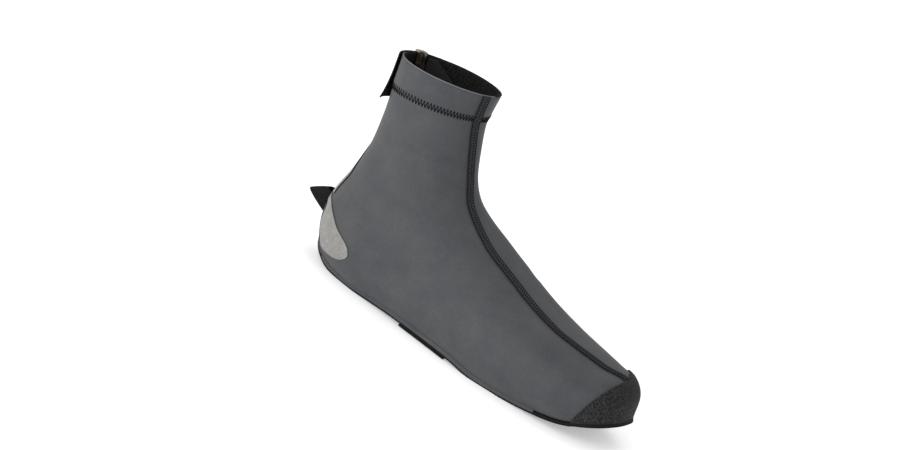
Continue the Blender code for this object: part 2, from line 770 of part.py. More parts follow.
def build_heel_loop(parts, materials):
    """A strap of webbing sewn to the heel at both ends, its fold leaning up and back."""
    angles = np.radians(np.linspace(-90, 90, 15))
    lift = 2 * FIT + GUARD_THICKNESS
    rows = []
    for share in np.linspace(0, 1, 5):
        z = LOOP_FOOT + (LOOP_HEAD - LOOP_FOOT) * share
        station = station_at_height(z)
        offsets = LOOP_SPREAD / 2 * np.sin(angles)
        turns = np.array([beside(station, 1.0, offset) for offset in offsets])
        root = skin(station, turns, lift)
        reach = np.array([
            -(LOOP_REACH_FOOT + (LOOP_REACH_HEAD - LOOP_REACH_FOOT) * share),
            0.0,
            LOOP_RISE_FOOT + (LOOP_RISE_HEAD - LOOP_RISE_FOOT) * share,
        ])
        rows.append(root + np.cos(angles)[:, None] ** 0.8 * reach)
    loop = add_object("heel_loop", sheet_mesh("heel_loop", np.stack(rows)), parts, materials["webbing"])
    thicken(loop, LOOP_WEBBING, 1)


def stand_over_origin(parts, helpers):
    """Hang every piece on an empty, which puts the origin on the floor under the shoe's middle."""
    bpy.context.view_layer.update()
    graph = bpy.context.evaluated_depsgraph_get()
    corners = []
    for obj in parts.objects:
        evaluated = obj.evaluated_get(graph)
        corners += [evaluated.matrix_world @ Vector(corner) for corner in evaluated.bound_box]
    corners = np.array(corners)
    middle = (corners.min(axis=0) + corners.max(axis=0)) / 2
    carrier = bpy.data.objects.new("overshoe_origin", None)
    parts.objects.link(carrier)
    carrier.location = (-middle[0], -middle[1], 0)
    for obj in list(parts.objects) + list(helpers.objects):
        if obj is not carrier:
            obj.parent = carrier


def main():
    clear_scene()
    parts = make_collection("cycling_overshoe")
    helpers = make_collection("cutters", helper=True)
    materials = {
        "shell": make_material("shell_fabric", (0.115, 0.125, 0.13), 0.55),
        "trim": make_material("trim_tape", (0.02, 0.02, 0.021), 0.7),
        "webbing": make_material("webbing", (0.012, 0.012, 0.013), 0.8),
        "panel": make_material("sole_panel", (0.015, 0.015, 0.016), 0.6),
        "cap": make_material("toe_fabric", (0.022, 0.022, 0.023), 0.75),
        "reflective": make_material("reflective_film", (0.38, 0.37, 0.35), 0.45),
        "metal": make_material("zip_metal", (0.16, 0.14, 0.11), 0.35, 1.0),
    }
    room = sole_room(helpers)
    build_upper(parts, materials)
    build_outsole(parts, helpers, materials)
    build_arch_strap(parts, materials)
    build_toe_cap(parts, helpers, room, materials)
    build_front_seam(parts, materials)
    build_heel_guard(parts, helpers, room, materials)
    build_heel_patch(parts, helpers, materials)
    build_back_strip(parts, materials)
    build_heel_loop(parts, materials)
    build_zip(parts, materials)
    build_zip_flap(parts, materials)
    build_slider(parts, helpers, materials)
    build_pull(parts, helpers, materials)
    build_closure_tab(parts, materials)
    stand_over_origin(parts, helpers)


main()
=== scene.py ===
# %% [markdown]
# # A cycling overshoe, dressed for its photograph
# An overshoe is a thin cover of coated fabric, pulled on over a cycling shoe against cold and
# rain. The imported CAD model holds its size, its solids and its one hinge. This lesson loads that
# model as a fixed frame, and gives each piece the cloth, thread and film that the eye expects.

# %% Load the frame
import math
from collections import namedtuple

import bmesh
import bpy
import numpy as np
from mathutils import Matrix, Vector


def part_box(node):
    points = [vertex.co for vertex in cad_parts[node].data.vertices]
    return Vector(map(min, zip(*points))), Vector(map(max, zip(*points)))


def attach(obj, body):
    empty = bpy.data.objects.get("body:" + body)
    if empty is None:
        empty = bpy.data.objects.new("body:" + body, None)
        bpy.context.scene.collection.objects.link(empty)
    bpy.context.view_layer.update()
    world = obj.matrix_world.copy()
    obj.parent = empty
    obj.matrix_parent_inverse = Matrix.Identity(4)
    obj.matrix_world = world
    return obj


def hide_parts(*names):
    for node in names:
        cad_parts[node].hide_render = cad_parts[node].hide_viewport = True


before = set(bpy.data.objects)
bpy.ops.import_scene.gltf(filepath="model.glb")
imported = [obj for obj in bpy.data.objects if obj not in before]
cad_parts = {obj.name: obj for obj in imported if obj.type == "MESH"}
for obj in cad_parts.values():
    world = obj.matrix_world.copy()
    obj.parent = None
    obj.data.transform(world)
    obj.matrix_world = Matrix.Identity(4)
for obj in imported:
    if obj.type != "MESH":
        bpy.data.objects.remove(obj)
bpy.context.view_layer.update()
print("CAD nodes:", ", ".join(sorted(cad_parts)))

# %% [markdown]
# ## The last, as a table of sections
# Shoemakers build on a last and describe it by sections. Each row below is one section of the
# shell, from the collar down and then forward to the toe, in shares of four real sizes. The
# solids come from such a table too, and this one lies up to three millimetres closer to the
# photograph. A sculpted mesh could have the same outline, but a table lets every seam and stitch
# lie on the cloth exactly.

# %% Sizes and sections
LENGTH = 0.296
BALL_WIDTH = 0.095
INSTEP_HEIGHT = 0.0935
SHAFT_RISE = 0.089
WALL = 0.002
FIT = 0.0003              # how far an overlay keeps from the cloth under it
SOLE_THICKNESS = 0.0027
SIDE_TURN = 0.56          # the turn at which a section is widest

# back and front are the section's ends in side view. half is its half width, and widest says
# where that lies from back to front. sole_half is the half width at the sole, and ridge is how
# far the front line leans inwards. crown and belly say how square the section is above and below
# its widest turn, and seam is the turn of the long seam.
Section = namedtuple(
    "Section",
    "name back_x back_z front_x front_z half widest sole_half ridge crown belly seam",
)
SECTIONS = (
    Section("collar", 0.020, 1.938, 0.296, 2.000, 0.356, 0.47, 0.000, 0.011, 2.0, 2.0, -0.120),
    Section("hem", 0.027, 1.674, 0.294, 1.747, 0.342, 0.47, 0.000, 0.011, 2.0, 2.0, -0.098),
    Section("shaft", 0.035, 1.376, 0.314, 1.489, 0.332, 0.46, 0.000, 0.021, 2.0, 2.0, -0.078),
    Section("ankle", 0.037, 1.084, 0.338, 1.264, 0.353, 0.45, 0.000, 0.032, 2.0, 2.0, -0.060),
    Section("bend", 0.022, 0.824, 0.371, 1.102, 0.381, 0.44, 0.000, 0.053, 2.2, 2.0, -0.078),
    Section("throat", -0.002, 0.588, 0.424, 0.992, 0.405, 0.42, 0.000, 0.084, 2.5, 2.0, -0.098),
    Section("heel_back", -0.009, 0.364, 0.479, 0.915, 0.418, 0.40, 0.000, 0.116, 2.7, 2.0, -0.118),
    Section("heel_edge", 0.012, 0.128, 0.520, 0.864, 0.424, 0.36, 0.000, 0.126, 2.8, 2.0, -0.118),
    Section("heel_turn", 0.036, 0.070, 0.554, 0.824, 0.429, 0.33, 0.126, 0.126, 2.9, 1.9, -0.110),
    Section("heel", 0.091, 0.015, 0.584, 0.786, 0.434, 0.30, 0.237, 0.126, 2.9, 1.6, -0.105),
    Section("heel_seat", 0.142, 0.000, 0.605, 0.765, 0.440, 0.29, 0.284, 0.126, 2.9, 1.45, -0.105),
    Section("heel_front", 0.203, 0.000, 0.628, 0.738, 0.445, 0.29, 0.316, 0.126, 2.9, 1.4, -0.107),
    Section("waist", 0.345, 0.030, 0.675, 0.688, 0.462, 0.30, 0.375, 0.116, 2.9, 1.3, -0.102),
    Section("arch", 0.530, 0.030, 0.740, 0.633, 0.490, 0.32, 0.430, 0.090, 2.9, 1.25, -0.087),
    Section("ball", 0.622, 0.000, 0.783, 0.609, 0.498, 0.33, 0.432, 0.076, 2.8, 1.25, -0.074),
    Section("tread", 0.709, 0.000, 0.835, 0.593, 0.480, 0.35, 0.402, 0.064, 2.6, 1.3, -0.072),
    Section("toe_joint", 0.797, 0.027, 0.895, 0.574, 0.449, 0.36, 0.380, 0.053, 2.4, 1.4, -0.064),
    Section("toe", 0.858, 0.059, 0.946, 0.560, 0.402, 0.33, 0.358, 0.032, 2.3, 1.5, -0.025),
    Section("toe_front", 0.895, 0.091, 0.983, 0.470, 0.342, 0.20, 0.326, 0.021, 2.2, 1.7, 0.0),
    Section("toe_tip", 0.912, 0.118, 0.995, 0.278, 0.311, 0.02, 0.311, 0.011, 2.2, 2.0, 0.0),
)
NAMES = [section.name for section in SECTIONS]
LAST = len(SECTIONS) - 1
HEEL_EDGE = NAMES.index("heel_edge")     # above it a section closes at the back, below it is open
print(len(SECTIONS), "sections from", NAMES[0], "to", NAMES[-1])

# %% [markdown]
# ## One function for the whole shell
# A point of the shell is found from two numbers: a station, which counts sections, and a turn,
# which goes round the section from the front ridge at 0 to the back or the sole's edge at -1 and
# 1. Smooth curves run through the table's columns, and a superellipse rounds each section. A loft
# in Blender would give the same skin, but then no other piece could ask it for a point.

# %% Smooth curves through the table
def height(share):
    """Height in metres: the share of INSTEP_HEIGHT up to 1, and of SHAFT_RISE above it."""
    share = np.asarray(share, float)
    return np.minimum(share, 1) * INSTEP_HEIGHT + np.maximum(share - 1, 0) * SHAFT_RISE


def column_sizes():
    """The table's columns in metres, or as the plain numbers that they are."""
    col = {
        name: np.array([getattr(section, name) for section in SECTIONS])
        for name in Section._fields[1:]
    }
    for name in ("back_x", "front_x"):
        col[name] = col[name] * LENGTH
    for name in ("back_z", "front_z"):
        col[name] = height(col[name])
    col["back_z"][HEEL_EDGE:] += SOLE_THICKNESS + FIT
    for name in ("half", "sole_half", "ridge"):
        col[name] = col[name] * BALL_WIDTH
    return col


COLUMNS = column_sizes()


def column(name, station):
    """A Catmull-Rom curve through one column: the ends' values and slopes, eased by cubics."""
    p = COLUMNS[name]
    station = np.clip(np.asarray(station, float), 0, LAST)
    i = np.minimum(station.astype(int), LAST - 1)
    u = station - i
    start, end = p[i], p[i + 1]
    leaving = np.where(i > 0, (end - p[np.maximum(i - 1, 0)]) / 2, end - start)
    arriving = np.where(i < LAST - 1, (p[np.minimum(i + 2, LAST)] - start) / 2, end - start)
    eased = u * u * (3 - 2 * u)
    return start + (end - start) * eased + leaving * u * (1 - u) ** 2 - arriving * u * u * (1 - u)


print("the collar's back is", round(float(column("back_z", 0)), 4), "m above the floor")


# %% The shell as a function of station and turn
def wrapped(turn):
    """A turn past the back centre line comes round to the other side: turn + 1, modulo 2, less 1."""
    return (np.asarray(turn, float) + 1) % 2 - 1 + 2 * (np.asarray(turn) == 1)


def raw_shell(station, turn):
    """x and z go from the section's back to its front with the cosine of the turn, squared up
    by the crown; y is the sine, squared up by crown above and by belly below the widest turn."""
    station, turn = np.broadcast_arrays(np.asarray(station, float), np.asarray(turn, float))
    back_x, back_z, front_x, front_z, half, widest, sole_half, ridge, crown, belly = (
        column(name, station) for name in Section._fields[1:-1]
    )
    sole_half = np.where(station <= HEEL_EDGE, 0, np.maximum(sole_half, 0))
    side = np.where(turn < 0, -1.0, 1.0)
    amount = np.abs(turn)
    above = np.clip(amount / SIDE_TURN, 0, 1) * math.pi / 2
    below = np.clip((amount - SIDE_TURN) / (1 - SIDE_TURN), 0, 1) * math.pi / 2
    upper = amount <= SIDE_TURN
    along = np.where(
        upper,
        widest + (1 - widest) * np.cos(above) ** (2 / crown),
        widest * (1 - np.sin(below)),
    )
    y_upper = ridge + (side * half - ridge) * np.sin(above) ** (2 / crown)
    y_lower = side * (sole_half + (half - sole_half) * np.maximum(np.cos(below), 0) ** (2 / belly))
    x = back_x + (front_x - back_x) * along
    z = back_z + (front_z - back_z) * along
    return np.stack([x, np.where(upper, y_upper, y_lower), z], -1)


SHIFT = np.array([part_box("upper")[1].x - raw_shell(LAST, 0.0)[0], 0.0, 0.0])


def shell(station, turn):
    """The raw shell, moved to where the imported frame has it."""
    return raw_shell(station, wrapped(turn)) + SHIFT


def unit(vectors):
    """Each vector over its own length."""
    return vectors / np.maximum(np.linalg.norm(vectors, axis=-1, keepdims=True), 1e-12)


def outward(station, turn):
    """Unit normal: the cross product of one small step down the shoe and one round it."""
    station, turn = np.broadcast_arrays(np.asarray(station, float), np.asarray(turn, float))
    step = 0.01
    closed = station <= HEEL_EDGE
    before = np.where(closed, turn - step, np.clip(turn - step, -1, 1))
    after = np.where(closed, turn + step, np.clip(turn + step, -1, 1))
    around = shell(station, after) - shell(station, before)
    higher = np.maximum(station - step, 0)
    lower = np.minimum(station + step, np.where(closed, HEEL_EDGE, LAST))
    down = shell(lower, turn) - shell(higher, turn)
    return unit(np.cross(down, around))


print("the shell is", round(float(shell(LAST, 0.0)[0] - shell(6, 1.0)[0]), 4), "m long")

# %% [markdown]
# ## Folds that stay in the cloth
# An empty overshoe keeps the soft creases of the ankle that wore it. A cloth simulation could
# find such creases, but not these ones, so they are listed one by one. Each is a trough or a ridge
# along a short line on the shell, and its profile is a bell curve. Every seam and panel asks the
# same function for its height, so all of them ride over the folds with the cloth.

# %% Creases, listed one by one
Crease = namedtuple("Crease", "station0 turn0 station1 turn1 wide high")
CREASES = (
    Crease(4.6, -0.20, 5.6, -0.62, 0.55, -0.0007),
    Crease(5.6, -0.22, 6.6, -0.55, 0.50, 0.0006),
    Crease(3.6, -0.60, 4.8, -0.86, 0.60, -0.0006),
    Crease(8.5, -0.25, 9.5, -0.60, 0.80, -0.0005),
    Crease(13.0, -0.30, 12.2, -0.66, 0.50, -0.0005),
    Crease(4.8, 0.20, 5.8, 0.55, 0.50, -0.0007),
)
TURN_REACH = 6.0     # one turn counts as this many stations when a crease's width is measured


def fold(station, turn):
    """Sum of bells: height times exp(-(distance / width) squared), along each crease's line."""
    station, turn = np.broadcast_arrays(np.asarray(station, float), np.asarray(turn, float))
    turn = wrapped(turn)
    total = np.zeros(station.shape)
    for c in CREASES:
        run = np.array([c.station1 - c.station0, (c.turn1 - c.turn0) * TURN_REACH])
        ds, dt = station - c.station0, (turn - c.turn0) * TURN_REACH
        along = np.clip((ds * run[0] + dt * run[1]) / (run @ run), 0, 1)
        gap = np.hypot(ds - along * run[0], dt - along * run[1])
        taper = np.sin(np.pi * np.clip(along, 0.08, 0.92)) ** 0.5
        total += c.high * taper * np.exp(-((gap / c.wide) ** 2))
    return total


print(len(CREASES), "creases, the deepest", min(c.high for c in CREASES), "m")

# %% [markdown]
# ## The hem's step
# The collar is turned in once and stitched, so the cloth is double there and stands proud by
# less than a millimetre. The step is a smooth S curve that is added to the cloth's height.

# %% The hem, and a point on the cloth
HEM_HEIGHT = 0.021
HEM_STEP = 0.0008
HEM_SOFTNESS = 0.0003     # how gently the step ends
HEM_TILT = 0.0036         # how much deeper the hem is round the back than at the front
TILT_FROM, TILT_OVER = 0.1, 0.7


def drop_from_collar(station):
    """How far down the back a station lies, below the collar's edge."""
    return column("back_z", 0.0) - column("back_z", station)


def hem_foot(turn):
    """The hem's depth below the collar: deeper by HEM_TILT from the front round to the back."""
    round_back = np.clip((np.abs(wrapped(turn)) - TILT_FROM) / TILT_OVER, 0, 1)
    return HEM_HEIGHT + HEM_TILT * round_back


def hem_lift(station, turn):
    """An S curve: the step over 1 + exp(the depth past the hem's foot over its softness)."""
    past = (drop_from_collar(station) - hem_foot(turn)) / HEM_SOFTNESS
    return HEM_STEP / (1 + np.exp(np.clip(past, -30, 30)))


def cloth(station, turn, lift=0.0):
    """A point at a lift above the cloth's outer face, hem and folds included."""
    rise = hem_lift(station, turn) + fold(station, turn) + lift
    return shell(station, turn) + outward(station, turn) * np.asarray(rise)[..., None]


print("the hem is", HEM_HEIGHT, "m deep in front and", HEM_HEIGHT + HEM_TILT, "m behind")


# %% Finding a place on the shell
def station_where(measure, wanted, start, end, steps):
    """The station between start and end at which a growing measure has the wanted value."""
    stations = np.linspace(start, end, steps + 1)
    return float(np.interp(wanted, measure(stations), stations))


def station_at_height(z):
    """The station whose section starts at this height at the back of the heel."""
    return station_where(lambda station: -column("back_z", station), -z, 0, HEEL_EDGE, 280)


def station_under(x):
    """The station whose section starts this far forward along the sole."""
    return station_where(lambda station: column("back_x", station), x, HEEL_EDGE, LAST, 480)


def station_dropped(drop):
    """The station this far below the collar, measured down the back."""
    return station_where(drop_from_collar, drop, 0, HEEL_EDGE, 700)


def beside(station, turn, distance):
    """The turn that lies this far round the section: the distance over the metres per turn."""
    step = 0.004
    here = shell(station, np.asarray(turn) + step) - shell(station, np.asarray(turn) - step)
    return turn + distance / (np.linalg.norm(here, axis=-1) / (2 * step))


def even_rows(start, end, per_section):
    """Stations at an even pace."""
    count = int(round((end - start) * per_section)) + 1
    return np.linspace(start, end, max(count, 2))


print("the hem ends at station", round(station_dropped(HEM_HEIGHT), 3))

# %% [markdown]
# ## From grids of points to meshes
# Every new piece is a sheet: rows and columns of points. The helpers below join them into faces,
# close the sheet where its two edges meet at the heel, and give it a wall with Solidify. The
# finished object stays at the origin with its place in its mesh, as the CAD nodes have it.

# %% Meshes and pieces
def grid_faces(rows, cols, offset=0):
    """Quads of a grid of points: each point with its right, lower and lower right neighbours."""
    first = offset + (np.arange(rows - 1)[:, None] * cols + np.arange(cols - 1)[None, :]).ravel()
    return np.stack([first, first + cols, first + cols + 1, first + 1], -1)


def make_mesh(name, points, faces):
    """A mesh from arrays, handed over whole with foreach_set."""
    mesh = bpy.data.meshes.new(name)
    points = np.ascontiguousarray(points.reshape(-1, 3), np.float32)
    count, sides = faces.shape
    mesh.vertices.add(len(points))
    mesh.vertices.foreach_set("co", points.ravel())
    mesh.loops.add(count * sides)
    mesh.loops.foreach_set("vertex_index", faces.astype(np.int32).ravel())
    mesh.polygons.add(count)
    mesh.polygons.foreach_set("loop_start", np.arange(count, dtype=np.int32) * sides)
    mesh.update(calc_edges=True)
    mesh.validate()
    return mesh


def sheet(name, *grids):
    """One open sheet through grids of points, merged where they meet."""
    points, faces, count = [], [], 0
    for grid in grids:
        rows, cols = grid.shape[:2]
        faces.append(grid_faces(rows, cols, count))
        points.append(grid.reshape(-1, 3))
        count += rows * cols
    mesh = make_mesh(name, np.concatenate(points), np.concatenate(faces))
    work = bmesh.new()
    work.from_mesh(mesh)
    bmesh.ops.remove_doubles(work, verts=work.verts, dist=1e-6)
    work.to_mesh(mesh)
    work.free()
    return mesh


def link(name, data):
    """A new object in the scene."""
    obj = bpy.data.objects.new(name, data)
    bpy.context.scene.collection.objects.link(obj)
    return obj


def add_piece(name, mesh, materials, node=None):
    """Put a piece in the scene, riding the shoe, and let it stand for its CAD node."""
    obj = link(name, mesh)
    for material in materials:
        mesh.materials.append(material)
    mesh.shade_smooth()
    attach(obj, "shoe")
    if node:
        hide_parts(node)
    print(name, len(mesh.polygons), "faces")
    return obj


print("meshes and pieces ready")

# %% Walls and soft edges
SOFT_EDGE = 0.0004        # the radius of a cut edge
OUTWARDS, INWARDS = 1, -1


def wall(obj, thickness, offset, other=0):
    """Solidify: the offset says which way it thickens; other picks the rim's and inner material."""
    modifier = obj.modifiers.new("Wall", "SOLIDIFY")
    modifier.thickness = thickness
    modifier.offset = offset
    modifier.material_offset_rim = other
    modifier.material_offset = other


def soften(obj):
    """Bevel the sharp edges, so that a cut edge catches a thin line of light."""
    modifier = obj.modifiers.new("Edge", "BEVEL")
    modifier.width = SOFT_EDGE
    modifier.segments = 2
    modifier.limit_method = "ANGLE"
    modifier.angle_limit = math.radians(50)


print("a soft edge is", SOFT_EDGE, "m")

# %% [markdown]
# ## Threads
# Stitches are what make a sewn piece look sewn. They could be drawn in a bump map, but then they
# would vanish from the outline. A long thread is a tube along a path. A row of single stitches
# is one small pill shape, turned and moved to each place in one array step.

# %% Tubes and pills
RING_SIDES = 6
PILL_RINGS = 5


def tangents(path):
    """Unit tangents of a path by finite differences."""
    return unit(np.gradient(path, axis=0))


def ring_of(side, up, flat):
    """cos a side + flat sin a up, for evenly spaced a: a circle, squashed towards the cloth."""
    angle = np.linspace(0, 2 * math.pi, RING_SIDES, endpoint=False)[None, :, None]
    return np.cos(angle) * side[:, None] + flat * np.sin(angle) * up[:, None]


def ring_faces(rings):
    """Quads between neighbouring rings, each ring closed on itself."""
    i = np.arange(rings - 1)[:, None] * RING_SIDES
    j = np.arange(RING_SIDES)[None, :]
    k = (j + 1) % RING_SIDES
    return np.stack([i + j, i + k, i + k + RING_SIDES, i + j + RING_SIDES], -1).reshape(-1, 4)


def close_ends(mesh):
    """Fill the open ends, and turn every face outwards."""
    work = bmesh.new()
    work.from_mesh(mesh)
    bmesh.ops.holes_fill(work, edges=work.edges, sides=0)
    bmesh.ops.recalc_face_normals(work, faces=work.faces)
    work.to_mesh(mesh)
    work.free()


def tube(name, path, normals, radius, flat=1.0):
    """Circles of points round a path, each at its centre, and narrower at the two ends."""
    along = tangents(path)
    side = unit(np.cross(along, normals))
    up = np.cross(side, along)
    taper = np.ones(len(path))
    taper[[0, -1]] = 0.35
    points = path[:, None] + ring_of(side, up, flat) * (radius * taper)[:, None, None]
    mesh = make_mesh(name, points, ring_faces(len(path)))
    close_ends(mesh)
    return mesh


def pills(name, centres, directions, normals, length, radius, flat=0.7):
    """Rows of stitches: rings along each direction, with a girth of sqrt(1 - reach ** 2.4)."""
    reach = np.linspace(-1, 1, PILL_RINGS)
    girth = np.sqrt(np.maximum(1 - np.abs(reach) ** 2.4, 0.03))
    along = unit(directions)
    side = unit(np.cross(normals, along))
    up = np.cross(along, side)
    points = (
        centres[:, None, None]
        + along[:, None, None] * (reach * length / 2)[None, :, None, None]
        + ring_of(side, up, flat)[:, None] * (radius * girth)[None, :, None, None]
    )
    first = np.arange(len(centres))[:, None, None] * PILL_RINGS * RING_SIDES
    mesh = make_mesh(name, points, (first + ring_faces(PILL_RINGS)[None]).reshape(-1, 4))
    close_ends(mesh)
    return mesh


def lay_tube(name, stations, turns, lift, radius, material, slot="trim", flat=1.0):
    """A tube that lies on the cloth along a line of stations and turns. It draws threads, edges
    and piping, and one black line of painted shadow along the back strip.
    """
    path = cloth(stations, turns, lift)
    mesh = tube(name, path, outward(stations, turns), radius, flat)
    return add_piece(name, mesh, [material])


print("a pill has", PILL_RINGS, "rings of", RING_SIDES, "points")

# %% [markdown]
# ## Finishes
# Each finish is a small node tree. A scanned cloth would look right from one side only, so the
# patterns are worked out from noise and cells. All of them read Object coordinates, so a pattern
# stays on its piece when the piece turns. A number that is the same everywhere is set on the
# shader's own socket.

# %% Node helpers
def finish_of(name, colour, roughness, **sockets):
    """A material with its plain numbers set on the shader's own sockets."""
    material = bpy.data.materials.new(name)
    material.use_nodes = True
    shader = shader_of(material)
    shader.inputs["Base Color"].default_value = (*colour, 1)
    shader.inputs["Roughness"].default_value = roughness
    for socket, value in sockets.items():
        shader.inputs[socket.replace("_", " ")].default_value = value
    return material


def shader_of(material):
    """The material's one surface shader."""
    return material.node_tree.nodes["Principled BSDF"]


def node(material, kind, inputs=None, **settings):
    """A new node, with its settings and its plain inputs."""
    made = material.node_tree.nodes.new(kind)
    for name, value in settings.items():
        setattr(made, name, value)
    for name, value in (inputs or {}).items():
        made.inputs[name].default_value = value
    return made


def join(material, source, output, target, entry):
    """A link from one node's output to another node's input."""
    material.node_tree.links.new(source.outputs[output], target.inputs[entry])


def noise(material, scale, detail, rough, stretch=(1, 1, 1)):
    """Noise on Object coordinates, stretched by a Mapping node."""
    place = node(material, "ShaderNodeTexCoord")
    mapping = node(material, "ShaderNodeMapping", {"Scale": stretch})
    numbers = {"Scale": scale, "Detail": detail, "Roughness": rough}
    texture = node(material, "ShaderNodeTexNoise", numbers)
    join(material, place, "Object", mapping, "Vector")
    join(material, mapping, "Vector", texture, "Vector")
    return texture


def tone(material, source, output, stops):
    """Colours along a ramp."""
    ramp = node(material, "ShaderNodeValToRGB")
    elements = ramp.color_ramp.elements
    while len(elements) < len(stops):
        elements.new(0.5)
    for element, (place, colour) in zip(elements, stops):
        element.position = place
        element.color = (*colour, 1)
    join(material, source, output, ramp, "Fac")
    return ramp


def bump(material, source, output, strength, distance, below=None):
    """A bump from a texture, on top of another bump if there is one."""
    made = node(material, "ShaderNodeBump", {"Strength": strength, "Distance": distance})
    join(material, source, output, made, "Height")
    if below is not None:
        join(material, below, "Normal", made, "Normal")
    return made


def shade(material, colour, colour_output, relief):
    """Feed the shader's colour and its normal."""
    join(material, colour, colour_output, shader_of(material), "Base Color")
    join(material, relief, "Normal", shader_of(material), "Normal")
    return material


print("node helpers ready")

# %% [markdown]
# Three kinds of finish cover the whole shoe. Coated fabric is satin grey, with slow cloudy
# changes of tone and a fine weave. Knit and thread are small cells, one for each loop. Film and
# rubberised cloth are pebbled, with a few lighter tips.

# %% Three kinds of finish
MIX_A, MIX_B, MIX_RESULT = 6, 7, 2     # the colour sockets of a Mix node, which share their names


def coated_fabric(name, dark, light):
    """Clouds between two greys, times a fine speck, with a weave and a ripple in the bump."""
    material = finish_of(
        name, dark, 0.6, Specular_IOR_Level=0.2, Sheen_Weight=0.04, Sheen_Roughness=0.5
    )
    clouds = noise(material, 46.0, 6.0, 0.62, (1, 1, 1.25))
    middle = tuple((a + b) / 2 for a, b in zip(dark, light))
    ramp = tone(material, clouds, "Fac", ((0.32, dark), (0.5, middle), (0.68, light)))
    grain = noise(material, 700.0, 3.0, 0.7, (1, 1, 0.6))
    speck = tone(material, grain, "Fac", ((0.3, (0.84, 0.84, 0.84)), (0.7, (1.0, 1.0, 1.0))))
    mixed = node(
        material, "ShaderNodeMix", {"Factor": 1.0}, data_type="RGBA", blend_type="MULTIPLY"
    )
    join(material, ramp, "Color", mixed, MIX_A)
    join(material, speck, "Color", mixed, MIX_B)
    weave = noise(material, 2600.0, 1.0, 0.6)
    relief = bump(material, weave, "Fac", 0.25, 0.0002)
    ripple = noise(material, 160.0, 3.0, 0.55)
    relief = bump(material, ripple, "Fac", 0.10, 0.0008, relief)
    return shade(material, mixed, MIX_RESULT, relief)


def knit(name, dark, light, scale=900.0, strength=0.6, roughness=0.85):
    """Thread or knit: small cells for the loops, in two near tones."""
    material = finish_of(name, dark, roughness, Specular_IOR_Level=0.08)
    place = node(material, "ShaderNodeTexCoord")
    cells = node(material, "ShaderNodeTexVoronoi", {"Scale": scale})
    join(material, place, "Object", cells, "Vector")
    ramp = tone(material, cells, "Distance", ((0.1, light), (0.55, dark)))
    relief = bump(material, cells, "Distance", strength, 0.0003)
    return shade(material, ramp, "Color", relief)


def speckled(name, dark, light, scale, roughness, strength):
    """Pebbled film or rubberised cloth: noise for the grain, with a few lighter tips."""
    material = finish_of(name, dark, roughness, Specular_IOR_Level=0.12)
    grain = noise(material, scale, 3.0, 0.7)
    ramp = tone(material, grain, "Fac", ((0.45, dark), (0.7, light)))
    relief = bump(material, grain, "Fac", strength, 0.0005)
    return shade(material, ramp, "Color", relief)


print("three kinds of finish ready")

# %% The palette
fabric = coated_fabric("coated_fabric", (0.054, 0.057, 0.063), (0.072, 0.073, 0.077))

DEEP_BLACK, BLACK = (0.004, 0.004, 0.0045), (0.006, 0.006, 0.0065)
# This black also colours the lines of painted shadow on the seam tape's edges and along the back
# strip.
thread = knit("black_thread_and_painted_shadow", DEEP_BLACK, (0.012, 0.012, 0.013), 2400.0, 0.5, 0.75)
zip_cloth = knit("zip_cloth", BLACK, (0.018, 0.018, 0.019), 1500.0, 0.5, 0.8)
webbing = knit("woven_webbing", BLACK, (0.02, 0.02, 0.021), 1300.0, 0.7, 0.8)
lining = knit("knit_lining", BLACK, (0.03, 0.03, 0.032), 1100.0)
flap_cloth = knit("flap_cloth", (0.02, 0.02, 0.021), (0.045, 0.045, 0.047), 1300.0)
seam_tape = knit("seam_tape", (0.050, 0.051, 0.055), (0.085, 0.087, 0.092), 1500.0, 0.5, 0.8)
piping = knit("grey_piping", (0.07, 0.072, 0.076), (0.12, 0.12, 0.125), 2000.0, 0.3, 0.7)
cut_edge = knit("cut_edge", (0.13, 0.14, 0.15), (0.2, 0.21, 0.22), 1600.0, 0.2, 0.7)

guard_film = speckled("guard_film", DEEP_BLACK, (0.012, 0.012, 0.013), 900.0, 0.6, 0.15)
sole_rubber = speckled("sole_fabric", DEEP_BLACK, (0.013, 0.013, 0.014), 1400.0, 0.7, 0.4)
cap_cloth = speckled(
    "toe_cap_cloth", (0.010, 0.010, 0.0105), (0.060, 0.061, 0.064), 900.0, 0.7, 0.9
)
reflective = speckled(
    "reflective_film", (0.205, 0.201, 0.191), (0.262, 0.258, 0.247), 260.0, 0.45, 0.05
)
metal = speckled("dark_bronze", (0.17, 0.15, 0.12), (0.5, 0.45, 0.37), 420.0, 0.36, 0.1)
shader_of(metal).inputs["Metallic"].default_value = 1.0
shader_of(metal).inputs["Specular IOR Level"].default_value = 0.5
print(len(bpy.data.materials), "materials")

# %% [markdown]
# ## The shell
# The shell is the shoe's whole look: a smooth satin sheet, cut off clean at the collar and open
# under the foot. Rows are closer at the hem, where its step is. The wall is the CAD's own two
# millimetres, with the knit showing inside, and a pale line runs where the fabric is cut.

# %% Build the shell
EDGE_RADIUS = 0.00045
hem_end = station_dropped(HEM_HEIGHT)
hem_rows = hem_end + np.linspace(-0.06, 0.26, 17)
stations = np.unique(np.concatenate([even_rows(0, LAST, 9), hem_rows]))
turns = np.linspace(-1, 1, 201)
shell_grid = cloth(stations[:, None], turns[None, :])
upper = add_piece("shell", sheet("shell", shell_grid), [fabric, lining], "upper")
wall(upper, WALL, INWARDS, other=1)

rim_turns = np.linspace(-0.93, -0.03, 161)
lay_tube("collar_edge", 0.0, rim_turns, -0.0003, EDGE_RADIUS, cut_edge, "shell")

# %% [markdown]
# ## The hem's coverstitch
# The turned collar is held by a zigzag of black thread that runs all round. The path swings up
# and down across the hem's lower edge while it goes round, so the thread is one tube.

# %% Zigzag round the hem
ZIG_TEETH = 72
ZIG_START, ZIG_SPAN = -0.86, 1.66      # the turn that it starts from, and the turns it runs through
ZIG_TOP, ZIG_FOOT = -0.0030, 0.0026    # how far it swings above and below the hem's edge
POINTS_PER_TOOTH = 8


